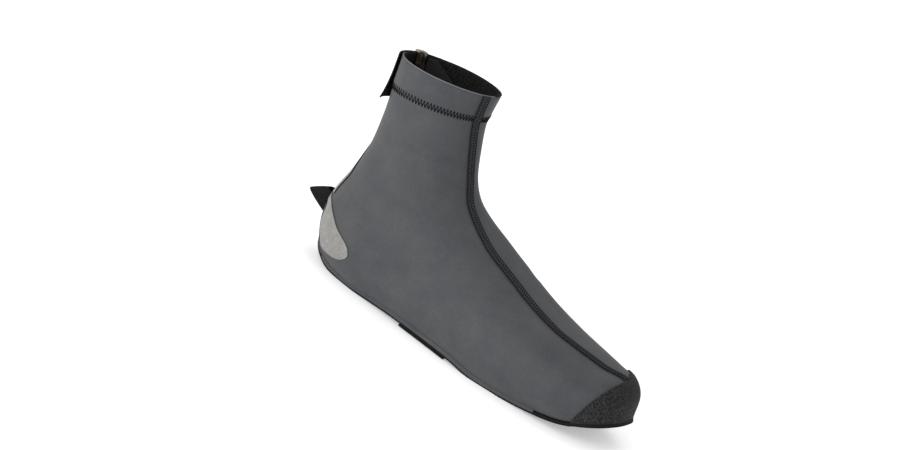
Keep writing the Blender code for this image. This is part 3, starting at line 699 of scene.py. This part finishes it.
def zigzag():
    """A triangle wave, eased by a cosine: the drop swings round the hem's edge once a tooth."""
    t = np.linspace(0, 1, ZIG_TEETH * POINTS_PER_TOOTH + 1)
    turn = ZIG_START + ZIG_SPAN * t
    wave = np.abs((t * ZIG_TEETH) % 1 * 2 - 1)
    wave = 0.5 - 0.5 * np.cos(np.pi * wave)
    drop = hem_foot(turn) + ZIG_TOP + (ZIG_FOOT - ZIG_TOP) * wave
    fine = np.linspace(0, 4, 401)
    return np.interp(drop, drop_from_collar(fine), fine), turn


lay_tube("hem_zigzag", *zigzag(), 0.00012, 0.00036, thread, flat=0.6)

# %% [markdown]
# ## The flatlock seam
# One long seam joins the outer and inner panels, from the collar down the instep to the cap. It
# is a raised flat tape, with three black lines along it and short slanting stitches between them.
# The middle line is a thread, and the two on the tape's edges are painted shadow of the raised tape.
# The slant changes sides at the middle thread, which gives the seam its herringbone look.

# %% Seam tape
SEAM_WIDTH = 0.0066
SEAM_THICKNESS = 0.0009
SEAM_END = 17.0


def ribbon(rows, centre, width, lift, columns):
    """A band along the shoe: at each row, turns spread evenly over its width."""
    share = np.linspace(-0.5, 0.5, columns)[None, :]
    edges = beside(rows[:, None], centre[:, None], width * share)
    return cloth(rows[:, None], edges, lift)


def seam_at(station):
    """The turn of the seam's middle."""
    return column("seam", station)


seam_rows = even_rows(0, SEAM_END, 16)
seam_grid = ribbon(seam_rows, seam_at(seam_rows), SEAM_WIDTH, FIT * 0.5, 9)
seam_mesh = sheet("front_seam_band", seam_grid)
seam = add_piece("front_seam_band", seam_mesh, [seam_tape], "front_seam")
wall(seam, SEAM_THICKNESS, OUTWARDS)
soften(seam)

# %% Seam threads, and painted shadow along the tape's edges
SEAM_TOP = FIT * 0.5 + SEAM_THICKNESS
STITCH_PITCH = 0.0020
STITCH_LENGTH = 0.0028
STITCH_RADIUS = 0.00042
STITCH_SLANT = 55
LINE_RADIUS = 0.00038
LINE_POINTS = 500


def paced(count, start, end, centre_of, offset):
    """Stations at even steps of length along a line beside a centre line, and its length."""
    fine = np.linspace(start, end, 1601)
    line = cloth(fine, beside(fine, centre_of(fine), offset))
    run = np.concatenate([[0], np.cumsum(np.linalg.norm(np.diff(line, axis=0), axis=1))])
    return np.interp(np.linspace(0, run[-1], count), run, fine), run[-1]


def stitch_row(name, offset, slant):
    """Pills at even steps beside the seam's middle, turned by a slant from its direction."""
    total = paced(2, 0.02, SEAM_END, seam_at, offset)[1]
    at, _ = paced(int(total / STITCH_PITCH), 0.02, SEAM_END, seam_at, offset)
    centres = cloth(at, beside(at, seam_at(at), offset), SEAM_TOP)
    normals = outward(at, seam_at(at))
    along = tangents(centres)
    across = np.cross(normals, along)
    slant = math.radians(slant)
    directions = along * math.cos(slant) + across * math.sin(slant)
    return pills(name, centres, directions, normals, STITCH_LENGTH, STITCH_RADIUS)


for name, offset, slant in (
    ("seam_stitch_outer", -0.0016, STITCH_SLANT),
    ("seam_stitch_inner", 0.0016, -STITCH_SLANT),
):
    add_piece(name, stitch_row(name, offset, slant), [thread])

# The two lines at the tape's edges are black tubes of painted shadow, cast by the raised tape; the
# middle one is a thread.
for name, offset in (
    ("seam_edge_shadow_outer", -0.0031),
    ("seam_line_middle", 0.0),
    ("seam_edge_shadow_inner", 0.0031),
):
    at, _ = paced(LINE_POINTS, 0.0, SEAM_END, seam_at, offset)
    line = cloth(at, beside(at, seam_at(at), offset), SEAM_TOP - 0.0001)
    line_mesh = tube(name, line, outward(at, seam_at(at)), LINE_RADIUS)
    add_piece(name, line_mesh, [thread])

# %% [markdown]
# ## The toe cap
# A rubberised cap guards the toe. Its edge is a straight cut in side view, and reaches further
# back on the inner side. A boolean cut would leave ragged faces there, so the cap's first row is
# found where the shell crosses that slanting plane, and its rows run on from there to the tip.

# %% Toe cap
CAP_THICKNESS = 0.0010
CAP_TOP = 0.956           # the plane's share of LENGTH at CAP_PLANE_HEIGHT
CAP_BOTTOM = 0.888        # and its share on the floor
CAP_PLANE_HEIGHT = 0.6 * INSTEP_HEIGHT
CAP_SKEW = 0.42           # the inner side reaches back by this share of its distance from the middle
CAP_SEARCH_FROM = 14.0


def cap_start(turn):
    """The station where each turn's line crosses the cap's plane."""
    fine = np.linspace(CAP_SEARCH_FROM, LAST, 801)
    x, y, z = np.moveaxis(raw_shell(fine[:, None], turn[None, :]), -1, 0)
    plane = LENGTH * (CAP_BOTTOM + (CAP_TOP - CAP_BOTTOM) * z / CAP_PLANE_HEIGHT)
    plane = plane - CAP_SKEW * np.clip(y, 0, None)
    return fine[np.argmax(x > plane, axis=0)]


cap_turns = np.linspace(-0.97, 0.97, 161)
first = cap_start(cap_turns)
cap_rows = first[None, :] + (LAST - first)[None, :] * np.linspace(0, 1, 60)[:, None]
cap_mesh = sheet("toe_cap_skin", cloth(cap_rows, cap_turns[None, :], FIT))
cap = add_piece("toe_cap_skin", cap_mesh, [cap_cloth], "toe_cap")
wall(cap, CAP_THICKNESS, OUTWARDS)
soften(cap)

# %% [markdown]
# ## The heel: guard, patch, strip and loop
# The black guard wraps the heel's back and low edge, and thins out to a rand that ends at the
# strap. Its upper edge keeps a distance from the back line as seen from the side, because that is
# how a cutter would draw it, and a thin grey piping runs along it.

# %% Heel guard
GUARD_THICKNESS = 0.0012
GUARD_TOP = 0.044
GUARD_REACH = 0.0065
RAND_HEIGHT = 0.0006
STRAP_START = 0.1075
guard_rows = np.linspace(station_at_height(GUARD_TOP), station_under(STRAP_START), 90)


def guard_edge(rows):
    """The turn where the side view's distance from the back line equals the guard's reach."""
    fine = np.linspace(0.4, 0.999, 400)
    points = raw_shell(rows[:, None], fine[None, :])[..., [0, 2]]
    line = raw_shell(rows, 1.0)[:, [0, 2]]
    direction = tangents(line)
    inward = np.stack([-direction[:, 1], direction[:, 0]], -1)
    away = np.abs(np.sum((points - line[:, None]) * inward[:, None], axis=-1))
    reach = np.interp(rows, [HEEL_EDGE, NAMES.index("heel_front")], [GUARD_REACH, RAND_HEIGHT])
    return fine[np.argmax(away < reach[:, None], axis=1)]


edge_turn = guard_edge(guard_rows)
guard_share = np.linspace(0, 1, 16)[None, :]
guard_end = np.where(guard_rows <= HEEL_EDGE, 1.0, 0.995)[:, None]
outer_turns = -(edge_turn[:, None] + (guard_end - edge_turn[:, None]) * guard_share)
guard_mesh = sheet(
    "heel_guard_skin",
    cloth(guard_rows[:, None], outer_turns, FIT),
    cloth(guard_rows[:, None], -outer_turns[:, ::-1], FIT),
)
guard = add_piece("heel_guard_skin", guard_mesh, [guard_film], "heel_guard")
wall(guard, GUARD_THICKNESS, OUTWARDS)

piping_turns = edge_turn - 0.004
for name, side in (("guard_piping_outer", -1), ("guard_piping_inner", 1)):
    lay_tube(name, guard_rows, side * piping_turns, FIT, EDGE_RADIUS, piping)

# %% [markdown]
# The patch is printed film, half a millimetre thick, with a smooth outline in side view. It
# could be trimmed in the turn direction, as the guard is, but its tip curls round. So a dense
# sheet of the heel is cut by a prism of that outline, and the result is kept as the mesh.

# %% Cutting with a prism
def smooth_outline(corners, steps):
    """A closed Catmull-Rom curve through the corners."""
    p = np.array(corners)
    u = np.linspace(0, 1, steps, endpoint=False)[None, :, None]
    a, b, c, d = (np.roll(p, shift, 0)[:, None] for shift in (1, 0, -1, -2))
    slope, bend, twist = c - a, 2 * a - 5 * b + 4 * c - d, 3 * b - a - 3 * c + d
    curve = 0.5 * (2 * b + slope * u + bend * u**2 + twist * u**3)
    return curve.reshape(-1, 2)


def prism(name, outline, axis, low, high):
    """A closed prism: the outline at low along one axis, and again at high."""
    count = len(outline)
    near = np.insert(outline, axis, low, axis=1)
    far = np.insert(outline, axis, high, axis=1)
    i = np.arange(count)
    sides = np.stack([i, (i + 1) % count, (i + 1) % count + count, i + count], -1)
    mesh = make_mesh(name, np.concatenate([near, far]), sides)
    close_ends(mesh)
    return link(name, mesh)


def cut_with(obj, operation, *cutters):
    """Cut with each prism, make the modifiers' result the mesh, and remove the prisms."""
    for cutter in cutters:
        modifier = obj.modifiers.new("Cut", "BOOLEAN")
        modifier.operation = operation
        modifier.solver = "EXACT"
        modifier.object = cutter
    graph = bpy.context.evaluated_depsgraph_get()
    made = bpy.data.meshes.new_from_object(obj.evaluated_get(graph), depsgraph=graph)
    obj.modifiers.clear()
    obj.data = made
    made.shade_smooth()
    made.set_sharp_from_angle(angle=math.radians(40))
    for cutter in cutters:
        bpy.data.objects.remove(cutter, do_unlink=True)
    print(obj.name, "cut to", len(made.polygons), "faces")


print("prisms ready")

# %% Heel patch
FILM = 0.0005
PATCH_OUTLINE = (
    (-0.03, 0.545),
    (0.020, 0.545),
    (0.063, 0.474),
    (0.102, 0.401),
    (0.150, 0.340),
    (0.168, 0.290),
    (0.167, 0.240),
    (0.149, 0.193),
    (0.122, 0.167),
    (0.085, 0.158),
    (0.056, 0.178),
    (0.034, 0.235),
    (0.022, 0.340),
    (0.020, 0.482),
    (-0.03, 0.482),
)
heel_rows = even_rows(4.5, station_under(STRAP_START), 12)[:, None]
heel_side = np.linspace(0.4, 1, 60)[None, :]
patch_mesh = sheet(
    "heel_patch_film",
    cloth(heel_rows, -heel_side[:, ::-1], FIT),
    cloth(heel_rows, heel_side, FIT),
)
patch = add_piece("heel_patch_film", patch_mesh, [reflective], "heel_patch")
wall(patch, FILM, OUTWARDS)
outline = smooth_outline(PATCH_OUTLINE, 6) * [LENGTH, INSTEP_HEIGHT] + [SHIFT[0], 0]
cut_with(patch, "INTERSECT", prism("patch_outline", outline, 1, -0.1, 0.1))

# %% [markdown]
# The strip is the same film and climbs the back of the leg, a little to the outer side, where it
# shows as a pale sliver. A black tube along its outer edge is painted shadow of the raised film.

# %% Back strip
STRIP_ROWS = 40
STRIP_FOOT, STRIP_SHOULDER, STRIP_HEAD = 0.0516, 0.074, 0.104
strip_z = np.linspace(STRIP_HEAD, STRIP_FOOT, STRIP_ROWS)
strip_rows = np.array([station_at_height(z) for z in strip_z])
strip_inner = np.interp(strip_z, [STRIP_FOOT, STRIP_HEAD], [0.0065, 0.0030])
strip_outer = np.interp(
    strip_z, [STRIP_FOOT, STRIP_SHOULDER, STRIP_HEAD], [0.0225, 0.0210, 0.0045]
)
strip_share = np.linspace(0, 1, 17)[None, :]
strip_offset = -strip_inner[:, None] + (strip_inner + strip_outer)[:, None] * strip_share
strip_turns = beside(strip_rows[:, None], np.ones((STRIP_ROWS, 1)), strip_offset)
strip_mesh = sheet("back_strip_film", cloth(strip_rows[:, None], strip_turns, FIT))
strip = add_piece("back_strip_film", strip_mesh, [reflective], "back_strip")
wall(strip, FILM, OUTWARDS)
# A black tube along the strip's outer edge: painted shadow of the film's raised edge.
lay_tube("back_strip_edge_shadow", strip_rows, strip_turns[:, -1], FIT + 0.0002, 0.0004, thread)

# %% [markdown]
# The loop is flat webbing, folded out from the heel and back, to pull the overshoe on by. Its arc
# is a half ellipse that reaches further at its foot than at its head, which makes the fold lean.

# %% Heel loop
LOOP_WEBBING = 0.0012
LOOP_SPREAD = 0.0120
LOOP_FOOT, LOOP_HEAD = 0.031, 0.0475
LOOP_REACH_FOOT, LOOP_REACH_HEAD = 0.022, 0.006
LOOP_RISE_FOOT, LOOP_RISE_HEAD = 0.009, 0.0015
LOOP_FULLNESS = 0.8       # below 1, the arc is fuller than an ellipse
LOOP_ROWS = 17
angles = np.radians(np.linspace(-90, 90, 41))
loop_z = np.linspace(LOOP_FOOT, LOOP_HEAD, LOOP_ROWS)
loop_rows = np.array([station_at_height(z) for z in loop_z])[:, None]
loop_spread = LOOP_SPREAD / 2 * np.sin(angles)[None, :]
loop_turns = beside(loop_rows, np.ones((LOOP_ROWS, 1)), loop_spread)
roots = cloth(loop_rows, loop_turns, 2 * FIT + GUARD_THICKNESS)
loop_share = np.linspace(0, 1, LOOP_ROWS)[:, None]
back = -(LOOP_REACH_FOOT + (LOOP_REACH_HEAD - LOOP_REACH_FOOT) * loop_share)
rise = LOOP_RISE_FOOT + (LOOP_RISE_HEAD - LOOP_RISE_FOOT) * loop_share
reach = np.stack([back, 0 * back, rise], -1)
loop_grid = roots + (np.cos(angles)[None, :, None] ** LOOP_FULLNESS) * reach
loop = add_piece("pull_loop", sheet("pull_loop", loop_grid), [webbing], "heel_loop")
wall(loop, LOOP_WEBBING, OUTWARDS)
soften(loop)

# %% [markdown]
# ## The zip at the back
# A coil zip closes the ankle. Its tape is flat and its teeth are small pills across the line,
# which is also how a coil looks. The slider and the pull are the CAD's own metal pieces, and the
# pull hangs inside the collar.

# %% Zip tape and teeth
ZIP_TURN = 0.895
ZIP_WIDTH = 0.015
ZIP_END = station_at_height(0.056)
TOOTH_COUNT = 110
TOOTH_LENGTH = 0.0045
TOOTH_RADIUS = 0.00042
TOOTH_LIFT = 2 * FIT + 0.0009


def zip_at(station):
    """The turn of the zip's middle, the same all the way down."""
    return np.full(np.shape(station), ZIP_TURN)


zip_rows = even_rows(0, ZIP_END, 16)
tape_mesh = sheet("zip_tape_band", ribbon(zip_rows, zip_at(zip_rows), ZIP_WIDTH, FIT, 7))
tape = add_piece("zip_tape_band", tape_mesh, [zip_cloth], "zip_tape")
wall(tape, FILM, OUTWARDS)

teeth, _ = paced(TOOTH_COUNT, station_dropped(0.010), ZIP_END, zip_at, 0.0)
tooth_centres = cloth(teeth, zip_at(teeth), TOOTH_LIFT)
tooth_normals = outward(teeth, zip_at(teeth))
tooth_across = np.cross(tooth_normals, tangents(tooth_centres))
coil = pills(
    "zip_teeth", tooth_centres, tooth_across, tooth_normals, TOOTH_LENGTH, TOOTH_RADIUS
)
add_piece("zip_teeth", coil, [guard_film], "zip_coil")

# %% [markdown]
# ## Tabs inside and outside the collar
# A stiff webbing tab covers the zip's top from outside. It is sewn down on one side, steps up
# over the slider, and stands off a little at its free end. A thin flap lies inside, behind the
# zip. Both are strips of the shell's own surface at their own heights.

# %% Closure tab
TAB_HEIGHT = 0.038
TAB_SEWN, TAB_FREE = 0.75, 1.14        # the turns of its two ends
TAB_FLARE = 0.0035
TAB_THICKNESS = 0.0012
OVER_SLIDER = 0.0016
STEP_AFTER, STEP_OVER = 0.03, 0.07     # where the step over the slider starts, and its length


def ease(amount):
    """From 0 to 1 with level ends: 3 amount squared less 2 amount cubed."""
    amount = np.clip(amount, 0, 1)
    return amount * amount * (3 - 2 * amount)


tab_rows = np.linspace(0, station_dropped(TAB_HEIGHT), 30)[:, None]
tab_turns = np.linspace(TAB_SEWN, TAB_FREE, 40)[None, :]
depth = drop_from_collar(tab_rows) / TAB_HEIGHT
tab_lift = (
    HEM_STEP
    + FIT
    + OVER_SLIDER * ease((tab_turns - TAB_SEWN - STEP_AFTER) / STEP_OVER)
    + TAB_FLARE * depth**3 * ease((tab_turns - 1) / (TAB_FREE - 1))
)
tab_grid = shell(tab_rows, tab_turns) + outward(tab_rows, tab_turns) * tab_lift[..., None]
tab_mesh = sheet("closure_tab_web", tab_grid)
tab = add_piece("closure_tab_web", tab_mesh, [webbing], "closure_tab")
wall(tab, TAB_THICKNESS, OUTWARDS)
soften(tab)

# %% Inner flap
FLAP_TOP, FLAP_BOTTOM = 0.06, 1.7      # stations
FLAP_FRONT, FLAP_SLANT, FLAP_REAR = 0.80, 0.28, 0.845
FLAP_GAP = 0.0008
FLAP_THICKNESS = 0.0008
flap_rows = np.linspace(FLAP_TOP, FLAP_BOTTOM, 24)[:, None]
flap_front = FLAP_FRONT - FLAP_SLANT * flap_rows
flap_turns = flap_front + (FLAP_REAR - flap_front) * np.linspace(0, 1, 24)[None, :]
flap_grid = shell(flap_rows, flap_turns) - outward(flap_rows, flap_turns) * (WALL + FLAP_GAP)
flap_mesh = sheet("zip_flap_cloth", flap_grid)
flap = add_piece("zip_flap_cloth", flap_mesh, [flap_cloth], "zip_flap")
wall(flap, FLAP_THICKNESS, INWARDS)

# %% [markdown]
# ## The sole and its strap
# The outsole is a ladder of straight rungs between the shell's two lower edges, a little wider
# than the shell, with its openings cut through. A second, shorter ladder makes the strap. A flat
# plate would be simpler, but the arch and the toe rise from the floor, and the rungs follow them.

# %% Plates under the foot
def rungs(pace, toe_rungs):
    """The two ends of each rung, from the back of the heel to the tip of the toe."""
    rows = np.arange(HEEL_EDGE + 0.2, LAST - pace / 2, pace)
    rows = np.append(rows, LAST)
    ends = SIDE_TURN * np.linspace(1, 0.06, toe_rungs)
    outer = np.concatenate([shell(rows, -1.0), shell(LAST, -ends)])
    inner = np.concatenate([shell(rows, 1.0), shell(LAST, ends)])
    return outer, inner


def plate(margin, drop, thickness, floor, span=None, pace=0.125, toe_rungs=24, columns=15):
    """Top and bottom grids of a plate under the foot: the rungs, moved out and then down."""
    outer, inner = rungs(pace, toe_rungs)
    middle = (outer + inner) / 2
    up = unit(np.cross(np.gradient(middle, axis=0), inner - outer))
    rim = np.concatenate([outer, inner[::-1]])
    run = np.roll(rim, -1, 0) - np.roll(rim, 1, 0)
    out = unit(np.cross(run, np.concatenate([up, up[::-1]])))
    out *= np.sign(np.sum(out[0] * (rim[0] - middle[len(middle) // 2])))
    wide = rim + out * margin
    count = len(outer)
    ends = np.stack([wide[:count], wide[count:][::-1]], 1) - up[:, None] * drop
    share = np.linspace(0, 1, columns)[None, :, None]
    top = ends[:, :1] + (ends[:, 1:] - ends[:, :1]) * share
    bottom = top - up[:, None] * thickness
    bottom[..., 2] = np.maximum(bottom[..., 2], floor)
    if span is not None:
        x = top[:, :, 0].mean(1)
        inside = (x > span[0]) & (x < span[1])
        top, bottom = top[inside], bottom[inside]
    return top, bottom


def slab(name, top, bottom):
    """A closed solid between two grids of points."""
    rows, cols = top.shape[:2]
    count = rows * cols
    i, j = np.arange(rows), np.arange(cols)
    left, right = i[-2:0:-1] * cols, i[1:] * cols + cols - 1
    ring = np.concatenate([j, right, (rows - 1) * cols + j[-2::-1], left])
    after = np.roll(ring, -1)
    faces = np.concatenate([
        grid_faces(rows, cols),
        grid_faces(rows, cols, count),
        np.stack([ring, after, after + count, ring + count], -1),
    ])
    mesh = make_mesh(name, np.concatenate([top.reshape(-1, 3), bottom.reshape(-1, 3)]), faces)
    close_ends(mesh)
    return mesh


def slot_outline(centre, length, width, corner):
    """A rounded rectangle: four quarter circles round the corners' centres."""
    angle = np.radians(np.linspace(0, 90, 10))
    along, across = length / 2 - corner, width / 2 - corner
    arcs = [
        np.stack([sx * along + corner * np.cos(angle + a),
                  sy * across + corner * np.sin(angle + a)], -1)
        for sx, sy, a in ((1, 1, 0), (-1, 1, np.pi / 2), (-1, -1, np.pi), (1, -1, 1.5 * np.pi))
    ]
    return np.concatenate(arcs) + [centre + SHIFT[0], 0]


print("plates ready")

# %% Outsole and strap
SOLE_MARGIN = 0.0014
PANEL_THICKNESS = 0.0028
CLEAT_OPENING = (0.192, 0.064, 0.050, 0.012)     # centre, length, width and corner radius
HEEL_OPENING = (0.050, 0.038, 0.028, 0.0134)
STRAP_WIDTH = 0.0535
STRAP_THICKNESS = 0.002
STRAP_FLOOR = 0.0003

sole_mesh = slab("sole_fabric", *plate(SOLE_MARGIN, FIT, PANEL_THICKNESS, 0.0))
sole = add_piece("sole_fabric", sole_mesh, [sole_rubber], "outsole")
cut_with(
    sole,
    "DIFFERENCE",
    prism("cleat_opening", slot_outline(*CLEAT_OPENING), 2, -0.02, 0.02),
    prism("heel_opening", slot_outline(*HEEL_OPENING), 2, -0.02, 0.02),
)

strap_span = (STRAP_START + SHIFT[0], STRAP_START + STRAP_WIDTH + SHIFT[0])
strap_drop = 2 * FIT + SOLE_THICKNESS
strap_grids = plate(SOLE_MARGIN, strap_drop, STRAP_THICKNESS, STRAP_FLOOR, strap_span)
strap_mesh = slab("arch_strap_web", *strap_grids)
strap = add_piece("arch_strap_web", strap_mesh, [webbing], "arch_strap")
soften(strap)

# %% [markdown]
# The grey cloth rolls over the sole's edge before the black panel takes over. The roll is one
# smooth curve from the shell's face, round the sole's top corner and down its side.

# %% The rolled edge
ROLL_TURN = 0.88
ROLL_DROP = 0.0017
ROLL_REACH = SOLE_MARGIN + 0.0003
ROLL_THICKNESS = 0.0004


def rolled_edge(rows, side):
    """A quadratic Bezier from the shell's face, round the sole's top corner, and down its side."""
    edge = shell(rows, side)
    down = np.array([0.0, 0.0, -1.0])
    out = unit(np.cross(tangents(edge), down) * side)
    corner = (edge + out * ROLL_REACH)[:, None]
    foot = corner + down * ROLL_DROP
    start = cloth(rows, side * ROLL_TURN, 0.0003)[:, None]
    t = np.linspace(0, 1, 10)[None, :, None]
    points = (1 - t) ** 2 * start + 2 * t * (1 - t) * corner + t**2 * foot
    return points if side > 0 else points[:, ::-1]


roll_rows = even_rows(8.6, 16.2, 12)
for name, side in (("rolled_edge_outer", -1.0), ("rolled_edge_inner", 1.0)):
    piece = add_piece(name, sheet(name, rolled_edge(roll_rows, side)), [fabric])
    wall(piece, ROLL_THICKNESS, INWARDS)

# %% [markdown]
# ## Metal pieces
# The slider and the pull keep their CAD shapes, which are already right, and take a dark bronze
# finish with a fine cast grain.

# %% Carried-over metal
for name in ("zip_slider", "zip_pull"):
    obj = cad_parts[name]
    obj.data.materials.clear()
    obj.data.materials.append(metal)
    print(name, "in dark bronze")

# %% [markdown]
# ## Floor and light
# The shoe stands on a wide pale floor that glows a little, so that it stays as white as paper.
# One soft light comes from the left front, a weak one fills the right, and one from above and
# behind draws the instep. A white sky softens all of them.

# %% Studio
FLOOR_REACH = 8.0
SKY_STRENGTH = 0.72
FLOOR_GLOW = 0.35
LIT_POINT = (0.0, 0.0, 0.08)


def add_light(name, place, energy, size):
    """A square soft light, turned towards the shoe."""
    light = bpy.data.lights.new(name, "AREA")
    light.energy = energy
    light.size = size
    obj = link(name, light)
    obj.location = place
    aim = Vector(LIT_POINT) - Vector(place)
    obj.rotation_euler = aim.to_track_quat("-Z", "Y").to_euler()


floor_corners = np.array([[-1, -1, 0], [1, -1, 0], [1, 1, 0], [-1, 1, 0]]) * FLOOR_REACH
floor = link("studio_floor", make_mesh("studio_floor", floor_corners, np.array([[0, 1, 2, 3]])))
pale_floor = finish_of("pale_floor", (0.93, 0.93, 0.93), 0.9, Specular_IOR_Level=0.1)
shader_of(pale_floor).inputs["Emission Color"].default_value = (1, 1, 1, 1)
shader_of(pale_floor).inputs["Emission Strength"].default_value = FLOOR_GLOW
floor.data.materials.append(pale_floor)

scene = bpy.context.scene
if scene.world is None:
    scene.world = bpy.data.worlds.new("studio")
scene.world.use_nodes = True
sky = scene.world.node_tree.nodes["Background"]
sky.inputs["Color"].default_value = (1.0, 1.0, 1.0, 1)
sky.inputs["Strength"].default_value = SKY_STRENGTH
scene.view_settings.view_transform = "Standard"

add_light("key", (-0.8, -1.6, 0.5), 24, 1.4)
add_light("fill", (1.4, -0.8, 0.9), 1, 1.4)
add_light("top", (-0.3, 0.6, 1.8), 5, 1.6)
print("three lights over a floor", 2 * FLOOR_REACH, "m wide")

# %% [markdown]
# ## Camera
# The camera looks from 25 degrees round to the toe's side and 18 degrees above. In the photograph
# the shoe lies tilted by 25 degrees, but here it stands on its sole, so the camera rolls instead.

# %% Camera
azimuth, elevation, roll = (math.radians(angle) for angle in (25.0, 18.0, 25.23))
distance = 1.6179
target = np.array([0.0985, 0.0, 0.0774]) + SHIFT
level = math.cos(elevation)
towards = np.array([math.sin(azimuth) * level, -math.cos(azimuth) * level, math.sin(elevation)])
right = np.array([math.cos(azimuth), math.sin(azimuth), 0.0])
above = np.cross(towards, right)
matrix = np.eye(4)
matrix[:3, 0] = right * math.cos(roll) + above * math.sin(roll)
matrix[:3, 1] = above * math.cos(roll) - right * math.sin(roll)
matrix[:3, 2] = towards
matrix[:3, 3] = target + towards * distance

camera_data = bpy.data.cameras.new("camera")
camera_data.lens = 85
camera_data.sensor_width = 36
camera = link("camera", camera_data)
camera.matrix_world = matrix.T.tolist()
bpy.context.scene.camera = camera
print("camera at", [round(float(value), 3) for value in matrix[:3, 3]])
